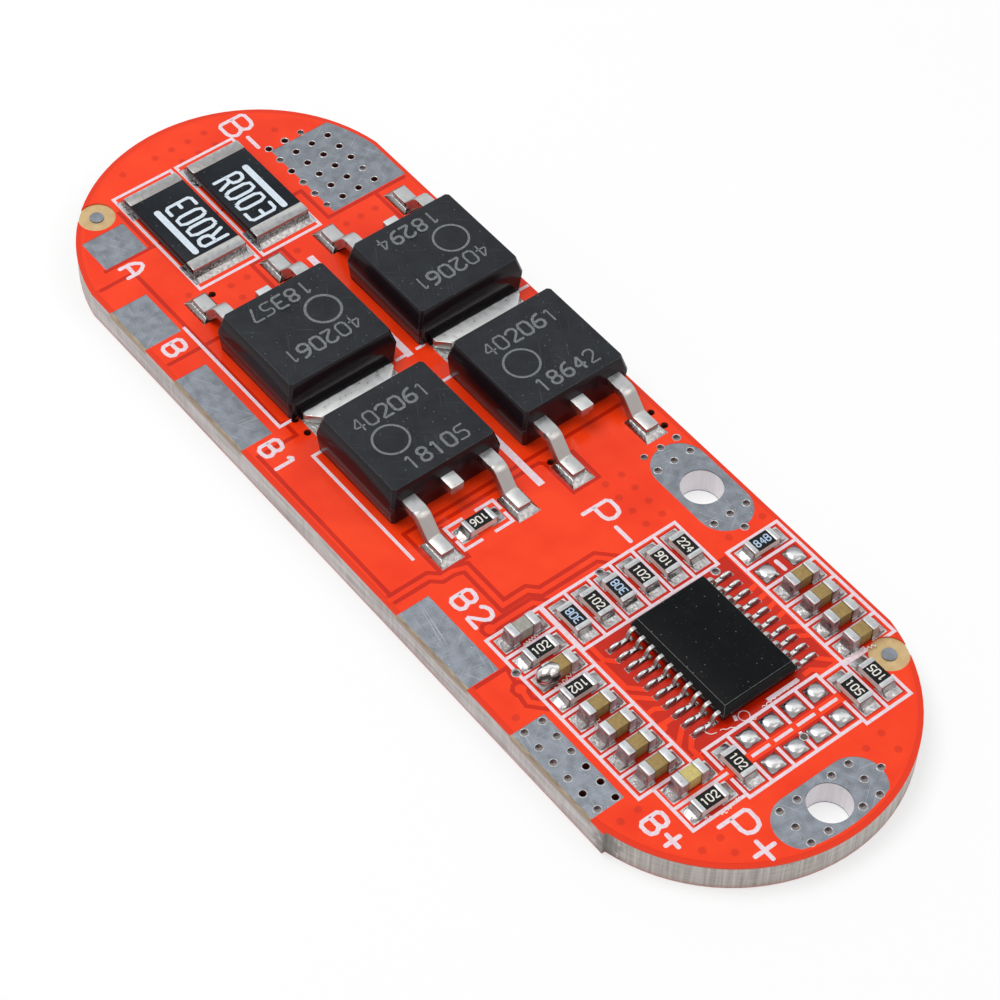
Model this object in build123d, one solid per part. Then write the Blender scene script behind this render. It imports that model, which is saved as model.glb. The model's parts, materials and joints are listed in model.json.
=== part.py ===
from build123d import *
import os

# Battery management board, in millimetres. X runs along the board from the B- end to the P+ end,
# Y runs from the near edge with the cell pads to the far edge, and Z points up.
# The origin is the middle of the board's underside.

# Board outline, a stadium whose long sides are sawn and whose ends are routed
end_bulge = 0.12
saw_step_reach = 2.3
saw_step_depth = 0.5

# Layers of the board
laminate_thickness = 1.52
foil_thickness = 0.05
mask_over_foil = 0.03
tin_over_foil = 0.03
ink_over_mask = 0.02
foil_edge_margin = 0.26

# Plated terminal holes and vias
terminal_hole_diameter = 2.14
back_land_thickness = 0.05
eye_land_width = 2.92
eye_land_length = 6.05
back_land_width = 3.1
via_diameter = 0.4
via_pitch = 1.02
open_via_floor = 0.03
ring_land_diameter = 0.5

# Power transistors, surface mount with a drain tab
transistor_length = 6.1
transistor_width = 6.55
transistor_height = 2.3
transistor_top_inset_x = 0.21
transistor_top_inset_y = 0.3
transistor_base_inset = 0.1
transistor_corner = 0.14
parting_height = 1.25
ejector_diameter = 1.1
ejector_depth = 0.05
ejector_offset = 1.35
frame_metal = 0.5
tab_width = 5.3
tab_reach = 1.0
tab_corner = 0.55
tab_butt_gap = 0.06
paddle_reach = 1.0
lead_pitch = 4.57
lead_width = 0.76
lead_root = 1.6
lead_shoulder = 1.0
lead_drop = 0.85
lead_foot = 1.15
lead_bend_radius = 0.4
stub_length = 0.8
transistor_row_gap = 1.33

# Sense resistors
sense_length = 6.3
sense_width = 3.2
sense_height = 0.62
sense_strap = 0.68
sense_strap_metal = 0.08
sense_row_gap = 0.68

# Control chip
chip_length = 6.5
chip_width = 4.4
chip_height = 1.05
chip_standoff = 0.08
chip_top_inset = 0.2
chip_base_inset = 0.08
chip_leg_count = 10
chip_leg_pitch = 0.65
chip_leg_span = 6.4
chip_leg_width = 0.2
chip_leg_metal = 0.14
chip_leg_root = 0.4
chip_leg_foot = 0.55
chip_leg_bend = 0.08

# Small chip resistors and capacitors
small_length = 1.6
small_width = 0.8
resistor_height = 0.45
capacitor_height = 0.8
resistor_strap = 0.27
capacitor_cap = 0.42
cap_metal = 0.05
coat_thickness = 0.03

# Solder lands and solder
lead_land_length = 1.8
lead_land_margin = 0.28
lead_land_toe = 0.43
drain_land_margin = 0.12
drain_land_reach = 3.0
sense_land_length = 1.55
sense_land_toe = 0.45
sense_land_margin = 0.175
leg_land_length = 1.45
leg_land_margin = 0.055
leg_land_toe = 0.55
small_land_length = 0.9
small_land_margin = 0.075
small_land_toe = 0.5
fillet_climb = 0.72
fillet_hollow = 0.3
lead_solder_height = 0.22
dome_height = 0.16
dome_taper = 50

# Printed frames round the parts
ink_width = 0.17
heavy_ink_width = 0.38
small_pitch = 1.35
small_frame = 3.1

# Cell and load terminals along the near edge
edge_pad_inset = 0.1
edge_pad_depth = 1.75
pad_a_length = 2.2
pad_a_depth = 2.5
pad_a_height = 1.48
pad_b_length = 3.1
pad_b_depth = 2.05
pad_b1_length = 5.6
pad_b2_length = 5.25
pad_b_plus_length = 5.6
pad_b_plus_depth = 1.83
pad_b_minus_length = 5.55
pad_b_minus_depth = 4.56
pad_b_minus_inset = 0.22
pad_b_minus_setback = 0.3
fiducial_window = 1.95
fiducial_dot = 0.72

# Spacings between the groups, from the B- end to the P+ end
end_to_sense = 2.78
sense_frame_margin = 0.32
sense_to_transistor = 0.3
transistor_to_column = 4.42
column_to_chip = 0.45
chip_to_block = 0.55
block_to_eye = 0.9
eye_to_end = 0.42

# Spacings across the board, from the near edge to the far edge
edge_to_near_row = 2.37
near_row_to_legs = 0.88
legs_to_far_row = 0.58
far_row_to_edge = 0.27
far_transistor_to_edge = 0.435
sense_to_pad_b_minus = 1.1

# Copper gaps and traces
gap_width = 0.22
trace_width = 0.26

# Lands and their spans, from the parts that stand on them
lead_land_width = lead_width + 2 * lead_land_margin
sense_land_width = sense_width + 2 * sense_land_margin
leg_land_width = chip_leg_width + 2 * leg_land_margin
leg_land_reach = chip_leg_span / 2 + leg_land_toe
small_land_width = small_width + 2 * small_land_margin
small_land_span = small_length + 2 * small_land_toe

# Heights of the layers
foil_top = laminate_thickness + foil_thickness
mask_top = foil_top + mask_over_foil
land_top = foil_top + tin_over_foil
ink_top = mask_top + ink_over_mask

# Places along the board, counted from the B- end and then centred
sense_frame_half = sense_length / 2 + sense_land_toe + sense_frame_margin
transistor_middle = transistor_length / 2 + tab_reach + tab_butt_gap / 2
lead_tip_reach = transistor_length / 2 + lead_shoulder + lead_drop + lead_foot
transistor_half_block = transistor_middle + lead_tip_reach + lead_land_toe

run = end_to_sense + sense_frame_half
sense_run = run
run += sense_frame_half + sense_to_transistor + transistor_half_block
transistors_run = run
run += transistor_half_block + transistor_to_column + small_frame / 2
column_run = run
run += small_frame / 2 + column_to_chip + chip_length / 2
chip_run = run
run += chip_length / 2 + chip_to_block + small_frame / 2
block_run = run
run += small_frame / 2 + block_to_eye + eye_land_width / 2
eye_plus_run = run
board_length = run + eye_land_width / 2 + eye_to_end

board_width = edge_to_near_row + near_row_to_legs + legs_to_far_row + far_row_to_edge
board_width += 2 * small_frame + 2 * leg_land_reach
half_length = board_length / 2
half_width = board_width / 2
end_radius = half_width + end_bulge
arc_x = half_length - end_radius
sense_x = sense_run - half_length
transistors_x = transistors_run - half_length
column_x = column_run - half_length
chip_x = chip_run - half_length
block_x = block_run - half_length
eye_plus_x = eye_plus_run - half_length
eye_minus_x = column_x - 2.42

# Places across the board
near_row_y = -half_width + edge_to_near_row + small_frame / 2
chip_y = near_row_y + small_frame / 2 + near_row_to_legs + leg_land_reach
far_row_y = chip_y + leg_land_reach + legs_to_far_row + small_frame / 2
eye_minus_y = half_width - pad_b_minus_inset - eye_land_width / 2
row_step = transistor_width + transistor_row_gap
far_transistor_y = half_width - far_transistor_to_edge - transistor_width / 2
near_transistor_y = far_transistor_y - row_step
pad_b_minus_bottom = half_width - pad_b_minus_inset - pad_b_minus_depth
sense_step = sense_width + sense_row_gap
far_sense_y = pad_b_minus_bottom - sense_to_pad_b_minus - sense_land_width / 2
near_sense_y = far_sense_y - sense_step
column_top_y = chip_y + 2.89
small_rows_x = column_x - small_frame / 2 + small_pitch / 2


def box_between(x0, y0, z0, x1, y1, z1):
    """Plain block between two corners."""
    return Pos((x0 + x1) / 2, (y0 + y1) / 2, (z0 + z1) / 2) * Box(x1 - x0, y1 - y0, z1 - z0)


def rectangle_between(x0, y0, x1, y1):
    """Flat rectangle between two corners."""
    return Pos((x0 + x1) / 2, (y0 + y1) / 2) * Rectangle(x1 - x0, y1 - y0)


def slab(sketch, bottom, top):
    """Sheet of one layer, from a flat outline and two heights."""
    return Pos(0, 0, bottom) * extrude(sketch, top - bottom)


def strip(width, *points):
    """Flat line of constant width through a few points, with square ends and mitred corners."""
    spots = [Vector(x, y) for x, y in points]
    steps = [(after - before).normalized() for before, after in zip(spots, spots[1:])]
    spots[0] -= steps[0] * width / 2
    spots[-1] += steps[-1] * width / 2
    left_side, right_side = [], []
    for spot, before, after in zip(spots, [steps[0], *steps], [*steps, steps[-1]]):
        mitre = (before + after).rotate(Axis.Z, 90) * (width / 2 / (1 + before.dot(after)))
        left_side.append(spot + mitre)
        right_side.append(spot - mitre)
    return make_face(Polyline(*left_side, *reversed(right_side), close=True))


def round_spots(places, diameter):
    """Flat discs of one diameter at many places."""
    return [Pos(x, y) * Circle(diameter / 2) for x, y in places]


def eight_sided_spots(places, diameter):
    """Flat spots like the round ones, but with few edges, for what repeats or is tiny."""
    spot = RegularPolygon(diameter / 2, 8, rotation=22.5)
    return [Pos(x, y) * spot for x, y in places]


def merged(shapes):
    """One flat sketch from many."""
    return Sketch() + list(shapes)


def separate(shapes):
    """Loose pieces that share one file."""
    return Compound(children=[piece for shape in shapes for piece in shape.solids()])


def board_outline():
    """Routed round ends, sawn long sides, and the step left where the saw cut stops."""
    ends = SlotOverall(board_length, 2 * end_radius)
    sides = Rectangle(board_length, board_width)
    step = rectangle_between(arc_x, -half_width, arc_x + saw_step_reach, -half_width + saw_step_depth)
    return (ends & sides) + step


def inset_outline(margin):
    """Board outline drawn in by a margin, for the foil's edge."""
    ends = SlotOverall(board_length - 2 * margin, 2 * (end_radius - margin))
    return ends & Rectangle(board_length, board_width - 2 * margin)


# Terminal pads

pad_b_minus_right = sense_x + sense_frame_half - pad_b_minus_setback
pad_a_right = sense_x - 0.05
pad_b_left = sense_x + 2.55
pad_b1_right = transistors_x - 1.0
pad_b2_right = column_x + 0.05
pad_b_plus_right = chip_x + 3.53


def edge_pad(right, length, depth):
    """Rectangular pad that runs out to the sawn near edge."""
    low = -half_width + edge_pad_inset
    return rectangle_between(right - length, low, right, -half_width + depth + edge_pad_inset)


def pad_b_minus_outline():
    """Square pad whose outer corner follows the round end."""
    right, bottom = pad_b_minus_right, pad_b_minus_bottom
    square = rectangle_between(right - pad_b_minus_length, bottom, right, half_width)
    return square & inset_outline(pad_b_minus_inset)


def pad_a_outline():
    low = -half_width + pad_a_height
    return rectangle_between(pad_a_right - pad_a_length, low, pad_a_right, low + pad_a_depth)


def eye_minus_outline():
    """Stadium land round the P- hole, along the board."""
    return Pos(eye_minus_x, eye_minus_y) * SlotOverall(eye_land_length, eye_land_width)


def eye_plus_outline():
    """Stadium land round the P+ hole, across the board and cut back from the round end."""
    slot = Pos(eye_plus_x, 0) * SlotOverall(eye_land_length, eye_land_width, rotation=90)
    return slot & inset_outline(eye_to_end)


pad_outlines = {
    "terminal_pad_b_minus": pad_b_minus_outline(),
    "terminal_pad_a": pad_a_outline(),
    "terminal_pad_b": edge_pad(pad_b_left + pad_b_length, pad_b_length, pad_b_depth),
    "terminal_pad_b1": edge_pad(pad_b1_right, pad_b1_length, edge_pad_depth),
    "terminal_pad_b2": edge_pad(pad_b2_right, pad_b2_length, edge_pad_depth),
    "terminal_pad_b_plus": edge_pad(pad_b_plus_right, pad_b_plus_length, pad_b_plus_depth),
}
eye_outlines = {
    "terminal_eye_p_minus": eye_minus_outline(),
    "terminal_eye_p_plus": eye_plus_outline(),
}
eye_centres = {
    "terminal_eye_p_minus": (eye_minus_x, eye_minus_y),
    "terminal_eye_p_plus": (eye_plus_x, 0),
}

# Vias: the open ones go down into the laminate, and solder has filled the others to its top

b_minus_first = (pad_b_minus_right - 0.65 - 5 * via_pitch, pad_b_minus_bottom)
b_minus_filled = [(0, 2), (1, 0), (3, 0), (4, 0), (5, 0), (4, 3)]
b_plus_first = (pad_b_plus_right - 0.25 - 5 * via_pitch, -half_width + 0.62)
b_plus_filled = [(0, 0), (1, 0), (2, 0), (3, 0), (5, 0), (1, 1), (2, 1)]


def grid_places(first, columns, rows, skipped=()):
    """Places of a via grid by column and row."""
    cells = [(i, j) for i in range(columns) for j in range(rows) if (i, j) not in skipped]
    return {(i, j): (first[0] + i * via_pitch, first[1] + j * via_pitch) for i, j in cells}


def eye_via_places():
    """Filled vias beside the two terminal holes."""
    step = via_pitch
    x, y = eye_minus_x, eye_minus_y
    places = [(x + side * 2 * step, y + k * step) for side in (-1, 1) for k in (-1, 0, 1)]
    places += [(x - 3 * step, y + k * step) for k in (-1, 0, 1)]
    places += [(x + 3 * step, y)]
    x = eye_plus_x
    places += [(x + i * step, j * step) for i in (-1, 1) for j in (-2, -1, 1, 2)]
    places += [(x, j * step) for j in (-2, 2, 3)]
    return places


b_minus_vias = grid_places(b_minus_first, 6, 4, skipped=[(0, 3)])
b_plus_vias = grid_places(b_plus_first, 6, 2)
lead_via_y = far_transistor_y + lead_pitch / 2 + 0.8
lead_via_x = transistors_x + transistor_half_block - 0.45
tab_via_y = near_transistor_y - tab_width / 2 - 0.34
lone_open_vias = [
    (transistors_x, tab_via_y),
    (transistors_x - via_pitch, tab_via_y),
    (transistors_x - transistor_half_block + 0.35, near_transistor_y - 1.45),
    (lead_via_x, lead_via_y),
    (lead_via_x - via_pitch, lead_via_y),
    (lead_via_x - 1.55, far_transistor_y - lead_pitch / 2 - 0.45),
]
ring_vias = [
    (column_x + 0.68, near_row_y - small_frame / 2 - 0.03),
    (column_x - 1.42, chip_y - 1.1),
    (column_x + 1.8, chip_y + 3.2),
]
filled_vias = [b_minus_vias[cell] for cell in b_minus_filled]
filled_vias += [b_plus_vias[cell] for cell in b_plus_filled] + eye_via_places() + ring_vias
open_vias = [place for cell, place in b_minus_vias.items() if cell not in b_minus_filled]
open_vias += [place for cell, place in b_plus_vias.items() if cell not in b_plus_filled]
open_vias += lone_open_vias
via_sketch = merged(eight_sided_spots(open_vias + filled_vias, via_diameter))
fiducial_places = [
    (sense_x - 3.42, -half_width + 3.15),
    (chip_x + 4.97, half_width - 1.33),
]

# Parts by place, with the way that each small part lies

column_places = [(column_x, column_top_y - k * small_pitch) for k in range(6)]
near_places = [(small_rows_x + k * small_pitch, near_row_y) for k in range(8)]
far_left_x = chip_x - 3.25
far_places = [(far_left_x + k * small_pitch, far_row_y) for k in range(6)]
block_rows = [column_top_y - 0.63 - k * small_pitch for k in range(5)]
top_rows = [block_rows[0] + k * small_pitch for k in (1, 2)]
pair_y = near_row_y + 0.77
pair_x = small_rows_x + 8 * small_pitch
top_pair_x = block_x + 0.22
gate_resistor_place = (transistors_x + transistor_half_block - 1.08, near_transistor_y + 0.05)

resistors_along_x = column_places + [(block_x, block_rows[4])]
resistors_along_x += [(top_pair_x, y) for y in top_rows]
resistors_along_y = [near_places[1], near_places[3], (pair_x + small_pitch, pair_y), far_places[0]]
resistors_along_y += [gate_resistor_place]
capacitors_along_y = [near_places[k] for k in (0, 2, 4, 5, 6, 7)] + [(pair_x, pair_y)]
capacitors_along_y += far_places[2:]
empty_along_x = [(block_x, y) for y in block_rows[:4]]
empty_along_y = [far_places[1]]


def place_along_x(shape, places):
    return [Pos(x, y) * shape for x, y in places]


def place_along_y(shape, places):
    return [Pos(x, y) * Rot(0, 0, 90) * shape for x, y in places]


# Lands for the parts


def small_lands():
    """The two lands of one small chip part, lying along X."""
    reach = small_land_span / 2
    half = small_land_width / 2
    right = rectangle_between(reach - small_land_length, -half, reach, half)
    return right + rectangle_between(-reach, -half, -reach + small_land_length, half)


def all_small_lands():
    filled = resistors_along_x + empty_along_x
    upright = resistors_along_y + capacitors_along_y + empty_along_y
    return merged(place_along_x(small_lands(), filled) + place_along_y(small_lands(), upright))


def leg_positions():
    """Leg centres along the control chip's side."""
    middle = (chip_leg_count - 1) / 2
    return [(k - middle) * chip_leg_pitch for k in range(chip_leg_count)]


def leg_lands():
    low = leg_land_reach - leg_land_length
    half = leg_land_width / 2
    one = rectangle_between(-half, low, half, leg_land_reach)
    near_side = [Pos(chip_x + x, chip_y) * one for x in leg_positions()]
    far_side = [Pos(chip_x + x, chip_y) * Rot(0, 0, 180) * one for x in leg_positions()]
    return merged(near_side + far_side)


def transistor_places():
    """Middle of each transistor body and the way its leads point."""
    reach = transistor_middle
    near_y, far_y = near_transistor_y, far_transistor_y
    return [
        (transistors_x - reach, near_y, 180),
        (transistors_x - reach, far_y, 180),
        (transistors_x + reach, near_y, 0),
        (transistors_x + reach, far_y, 0),
    ]


def transistor_lands():
    """Lead lands of each transistor and the drain land that each facing pair shares."""
    right = lead_tip_reach + lead_land_toe
    half = lead_land_width / 2
    one = rectangle_between(right - lead_land_length, -half, right, half)
    pair = [Pos(0, side * lead_pitch / 2) * one for side in (-1, 1)]
    lands = [Pos(x, y) * Rot(0, 0, turn) * land for x, y, turn in transistor_places() for land in pair]
    drain = Rectangle(2 * drain_land_reach, tab_width + 2 * drain_land_margin)
    lands += [Pos(transistors_x, y) * drain for y in (near_transistor_y, far_transistor_y)]
    return merged(lands)


def sense_lands():
    reach = sense_length / 2 + sense_land_toe - sense_land_length / 2
    one = Rectangle(sense_land_length, sense_land_width)
    rows = (near_sense_y, far_sense_y)
    return merged([Pos(sense_x + side * reach, y) * one for side in (-1, 1) for y in rows])


def ring_lands():
    return merged(eight_sided_spots(ring_vias, ring_land_diameter))


# Printed ink, all of it straight lines that frame the parts


def small_row_frame(first_x, count, middle_y, closed=True):
    """Frame and dividers round a row of small parts that lie across the board."""
    left = first_x - small_pitch / 2
    right = left + count * small_pitch
    low, high = middle_y - small_frame / 2, middle_y + small_frame / 2
    lines = [strip(ink_width, (left, low), (right, low)), strip(ink_width, (left, high), (right, high))]
    dividers = range(count + 1) if closed else range(count)
    for k in dividers:
        x = left + k * small_pitch
        lines.append(strip(ink_width, (x, low), (x, high)))
    return lines


def column_frame(middle_x, first_y, count):
    """Frame and dividers round a column of small parts that lie along the board."""
    top = first_y + small_pitch / 2
    left, right = middle_x - small_frame / 2, middle_x + small_frame / 2
    bottom = top - count * small_pitch
    lines = [strip(ink_width, (x, bottom), (x, top)) for x in (left, right)]
    for k in range(count + 1):
        y = top - k * small_pitch
        lines.append(strip(ink_width, (left, y), (right, y)))
    return lines


def sense_frames():
    """Two boxes side by side round the sense resistors."""
    length, width = 2 * sense_frame_half, sense_step - 2 * ink_width
    outer = Rectangle(length + ink_width, width + ink_width)
    one = outer - Rectangle(length - ink_width, width - ink_width)
    return [Pos(sense_x, y) * one for y in (near_sense_y, far_sense_y)]


def transistor_frames():
    """Broken lines that mark the transistors' outlines."""
    low = near_transistor_y - transistor_width / 2 - 0.57
    between = (near_transistor_y + far_transistor_y) / 2
    left = transistors_x - transistor_half_block + 1.4
    tick_left, tick_right = transistors_x - 1.1, transistors_x + 1.35
    right = transistors_x + 9.2
    width = ink_width
    lines = [
        strip(width, (left, low), (tick_left, low), (tick_left, low + 0.75)),
        strip(width, (right, low + 0.2), (tick_right, low + 0.2), (tick_right, low + 0.75)),
        strip(heavy_ink_width, (left, between), (tick_left, between)),
        strip(heavy_ink_width, (transistors_x + 4.6, between), (right, between)),
        strip(width, (tick_left, between), (tick_left, between - 0.7)),
        strip(width, (tick_left, between + 0.55), (tick_left, between + 0.95)),
        strip(width, (tick_right, between + 0.35), (tick_right, between + 1.0)),
        strip(width, (tick_left, half_width - 0.75), (tick_left, half_width - 0.15)),
    ]
    x, y = gate_resistor_place
    side, end, middle = 0.78, 1.43, 0.45
    for turn in (-1, 1):
        for flip in (-1, 1):
            corner = [(x + turn * side, y + flip * middle), (x + turn * side, y + flip * end)]
            lines.append(strip(width, *corner, (x + turn * 0.2, y + flip * end)))
    return lines


def block_frames():
    """Frames of the small parts between the control chip and the P+ hole."""
    width = ink_width
    half = small_frame / 2
    left, right = block_x - half, block_x + half
    rows = [block_rows[0] + small_pitch / 2 - k * small_pitch for k in range(6)]
    lines = [strip(width, (left, rows[0]), (left, rows[5])), strip(width, (right, rows[0]), (right, rows[5]))]
    for y in rows:
        lines.append(strip(width, (left, y), (block_x - 0.35, y)))
        lines.append(strip(width, (block_x + 0.4, y), (right, y)))
    for y in block_rows[:4]:
        lines.append(strip(width, (block_x, y - 0.45), (block_x, y + 0.45)))
    pair_low, pair_high = pair_y - 1.5, rows[5]
    for x in (pair_x + small_pitch / 2, pair_x + 1.5 * small_pitch):
        lines.append(strip(width, (x, pair_low), (x, pair_high)))
    lines.append(strip(width, (pair_x - small_pitch / 2, pair_low), (pair_x + 1.5 * small_pitch, pair_low)))
    top_left, top_right = top_pair_x - half, top_pair_x + half + 0.05
    middle, top = rows[0] + small_pitch, rows[0] + 2 * small_pitch
    lines.append(strip(width, (top_left, rows[0]), (top_left, top)))
    lines.append(strip(width, (right, rows[0]), (top_right, rows[0]), (top_right, top)))
    lines.append(strip(width, (top_left, middle), (top_right, middle)))
    lines.append(strip(width, (top_pair_x + 0.4, top), (top_right, top)))
    return lines


def chip_frame():
    """Line at the control chip's marked end."""
    x = chip_x + chip_length / 2 + 0.25
    return [strip(0.22, (x, chip_y + 0.35), (x, chip_y + 2.0))]


def ink_outline():
    lines = small_row_frame(small_rows_x, 8, near_row_y) + small_row_frame(far_left_x, 6, far_row_y)
    lines += column_frame(column_x, column_top_y, 6) + sense_frames() + transistor_frames()
    lines += block_frames() + chip_frame()
    return merged(lines)


# Copper under the mask


def fields():
    """Areas without poured copper, where the small parts and their traces are."""
    half = small_frame / 2 - ink_width
    rim = 2 * ink_width
    near_low, near_high = near_row_y - half, near_row_y + half
    far_low, far_high = far_row_y - half, far_row_y + half
    left, right = column_x - half, column_x + half
    block_left, block_right = block_x - half - 0.1, block_x + half
    block_low, block_high = pair_y - half + 0.1, block_rows[0] + small_pitch / 2
    top_left, top_right = top_pair_x - half, top_pair_x + half
    return [
        rectangle_between(right, near_high + rim, block_left - 0.1, far_low - rim),
        rectangle_between(left, near_high + rim, right, column_top_y + small_pitch / 2),
        rectangle_between(left, near_low, block_left, near_high),
        rectangle_between(far_left_x - small_pitch / 2, far_low, block_left + 0.1, far_high),
        rectangle_between(block_left, block_low, block_x - trace_width, block_high - 0.1),
        rectangle_between(block_x + trace_width, block_low, block_right, block_high - 0.1),
        rectangle_between(top_left, block_high + 0.1, top_right, top_rows[1] + small_pitch / 2),
    ]


def copper_gaps():
    """Isolating gaps between the poured areas."""
    width = gap_width
    edge = half_width
    split_x = pad_b_minus_right + 0.16
    low = pad_b_minus_bottom - 0.47
    gate_left = transistors_x - transistor_half_block - 0.12
    gate_low, gate_high = near_transistor_y + 1.28, near_transistor_y + 3.15
    far_gate = far_transistor_y + 1.42
    under = transistors_x - transistor_half_block + 2.7
    seam_y = near_transistor_y - transistor_width / 2 - 0.45
    b1_x, b1_y = transistors_x - 0.2, -edge + 0.48
    source_x = transistors_x + 7.78
    ring_right = transistors_x + transistor_half_block + 0.1
    lead_y = near_transistor_y - lead_pitch / 2
    source_low, source_high = lead_y - 0.8, lead_y + 0.8
    gate_x = source_x + 0.47
    far_lead_y = far_transistor_y - lead_pitch / 2
    a_x, a_top = sense_x + 0.06, near_sense_y - sense_width / 2 - 0.45
    return [
        strip(width, (split_x, edge), (split_x, low), (split_x - 2.4, low), (split_x - 2.4, low - 0.8)),
        strip(width, (sense_x + 0.06, far_sense_y), (a_x, a_top - 2.8)),
        strip(width, (sense_x - 2.95, a_top), (a_x, a_top)),
        strip(width, (under, gate_high), (gate_left, gate_high), (gate_left, gate_low), (under, gate_low)),
        strip(width, (split_x, far_gate), (under, far_gate)),
        strip(width, (pad_b_left - 1.55, -edge), (pad_b_left - 1.55, seam_y), (b1_x - 1.0, seam_y)),
        strip(width, (b1_x - 1.0, seam_y + 0.22), (b1_x, seam_y + 0.22), (b1_x, b1_y), (b1_x + 10.45, b1_y)),
        strip(width, (pad_b_left + 4.6, seam_y + 1.2), (pad_b_left + 4.6, -edge)),
        strip(width, (source_x, edge), (source_x, source_low), (ring_right, source_low)),
        strip(width, (ring_right, source_low), (ring_right, source_high), (ring_right - 2.1, source_high)),
        strip(width, (gate_x, source_high), (gate_x, far_lead_y - 0.95), (gate_x + 0.2, far_lead_y - 0.75)),
        strip(width, (gate_x + 0.2, far_lead_y - 0.75), (ring_right, far_lead_y - 0.75)),
        strip(width, (ring_right, far_lead_y - 0.75), (ring_right, far_lead_y + 0.8)),
        strip(width, (ring_right, far_lead_y + 0.8), (ring_right - 2.0, far_lead_y + 0.8)),
        strip(width, (pad_b2_right + 0.15, -edge), (pad_b2_right + 0.15, near_row_y - 1.75)),
        strip(width, (pad_b2_right + 0.15, near_row_y - 1.75), (pad_b2_right + 1.0, near_row_y - 1.95)),
    ]


def guarded_routes():
    """Traces that cross a poured area, each with a gap on both sides."""
    x, y = transistors_x, near_transistor_y
    low = -half_width + 0.3
    turn = lead_pitch / 2 + 0.31
    left = column_x - small_frame / 2
    battery = [(x + 10.48, low), (x + 10.48, y - 3.7), (x + 10.88, y - 3.25), (x + 10.88, y - turn)]
    battery += [(x + 11.1, y - 1.98), (left - 1.12, y - 1.98), (left - 1.12, y - 0.55)]
    battery += [(left - 0.67, y - 0.1), (left - 0.67, chip_y - 0.7), (left - 0.1, chip_y - 0.15)]
    sense = [(left - 0.4, near_row_y - 1.0), (left - 0.4, y - 0.8), (left, y - 0.4)]
    charge = [(column_x + 1.5, near_row_y - 1.97), (column_x + 2.3, near_row_y - 2.1)]
    charge += [(column_x + 2.75, near_row_y - 1.7)]
    return [battery, sense, charge]


def round_junctions():
    """Round copper spots where a route dives through the board."""
    left = column_x - small_frame / 2
    return [
        (left - 0.42, near_row_y - 1.0),
        (column_x + 1.5, near_row_y - 1.97),
        (chip_x + 1.72, chip_y - 4.5),
    ]


def chip_routes():
    """Short traces that fan out from the control chip's legs."""
    legs = leg_positions()
    near, far = chip_y - leg_land_reach, chip_y + leg_land_reach
    near_end, far_end = near - 0.9, far + 0.6
    x = chip_x
    routes = [[(x + legs[k], far - 0.1), (x + legs[k] - 0.1, far_end)] for k in (2, 3, 4, 5)]
    routes += [[(x + legs[k], far - 0.1), (x + legs[k] + 0.45, far_end)] for k in (6, 7)]
    routes += [[(x + legs[9], far - 0.35), (x + legs[9] + 1.0, far_end)]]
    routes += [[(x + 3.45, chip_y + 2.6), (x + 3.45, far - 0.8), (x + 3.95, far - 0.2)]]
    routes += [[(x + legs[1], near), (x + legs[1] - 0.45, near - 0.42), (x - 3.9, near - 0.42)]]
    routes += [[(x + legs[4], near), (x + legs[4] - 0.6, near - 0.6), (x - 2.6, near - 0.62), (x - 2.9, near_end)]]
    routes += [[(x + legs[5], near), (x + legs[5] - 0.85, near_end)]]
    routes += [[(x + legs[6], near), (x + legs[6] - 0.22, near - 0.35), (x + legs[6] - 0.22, near_end)]]
    routes += [[(x + legs[7], near), (x + legs[7], near_end)]]
    routes += [[(x + legs[8], near), (x + legs[8] + 0.75, near_end)]]
    routes += [[(x + legs[9], near), (x + legs[9] + 0.45, near - 0.42), (x + legs[9] + 1.1, near - 0.42)]]
    return routes


def foil_outline(lands):
    """Poured copper and traces, without the tinned lands that are pieces of their own."""
    copper = inset_outline(foil_edge_margin)
    clear = fields() + copper_gaps()
    clear += [strip(trace_width + 2 * gap_width, *route) for route in guarded_routes()]
    clear += eight_sided_spots(round_junctions(), 2.2 * trace_width + 2 * gap_width)
    clear += round_spots(fiducial_places, fiducial_window)
    copper = copper - merged(clear)
    copper = copper + [strip(trace_width, *route) for route in guarded_routes() + chip_routes()]
    copper = copper + eight_sided_spots(round_junctions(), 2.2 * trace_width)
    copper = copper & board_outline()
    return copper - lands - via_sketch - merged(round_spots(fiducial_places, fiducial_window))


# Board pieces


def terminal_eye(name):
    """Lands of one plated hole, a stadium on top and a round one let into the underside."""
    x, y = eye_centres[name]
    radius = terminal_hole_diameter / 2
    top = slab(eye_outlines[name] - via_sketch, laminate_thickness, land_top)
    back = Pos(x, y, back_land_thickness / 2) * Cylinder(back_land_width / 2, back_land_thickness)
    hole = Pos(x, y, 0) * Cylinder(radius, 4 * laminate_thickness)
    return separate([top - hole, back - hole])


def laminate(outline):
    """Glass laminate with its open via bores, its two holes and the seats of their back lands."""
    core = slab(outline, 0, laminate_thickness)
    for x, y in eye_centres.values():
        core -= Pos(x, y, 0) * Cylinder(terminal_hole_diameter / 2, 4 * laminate_thickness)
        core -= Pos(x, y, back_land_thickness / 2) * Cylinder(back_land_width / 2, back_land_thickness)
    drills = merged(eight_sided_spots(open_vias, via_diameter))
    return core - slab(drills, open_via_floor, laminate_thickness)


def solder_mask(outline, foil, lands):
    """Mask film, level on top, with the foil let into its underside and open at every land."""
    film = outline - lands - via_sketch - merged(round_spots(fiducial_places, fiducial_window))
    return slab(film, laminate_thickness, mask_top) - slab(foil, laminate_thickness, foil_top)


def printed_ink(lands):
    """White lines on the mask."""
    lines = (ink_outline() & board_outline()) - lands - via_sketch
    lines = lines - merged(round_spots(fiducial_places, fiducial_window))
    return slab(lines, mask_top, ink_top)


# Power transistors


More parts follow.
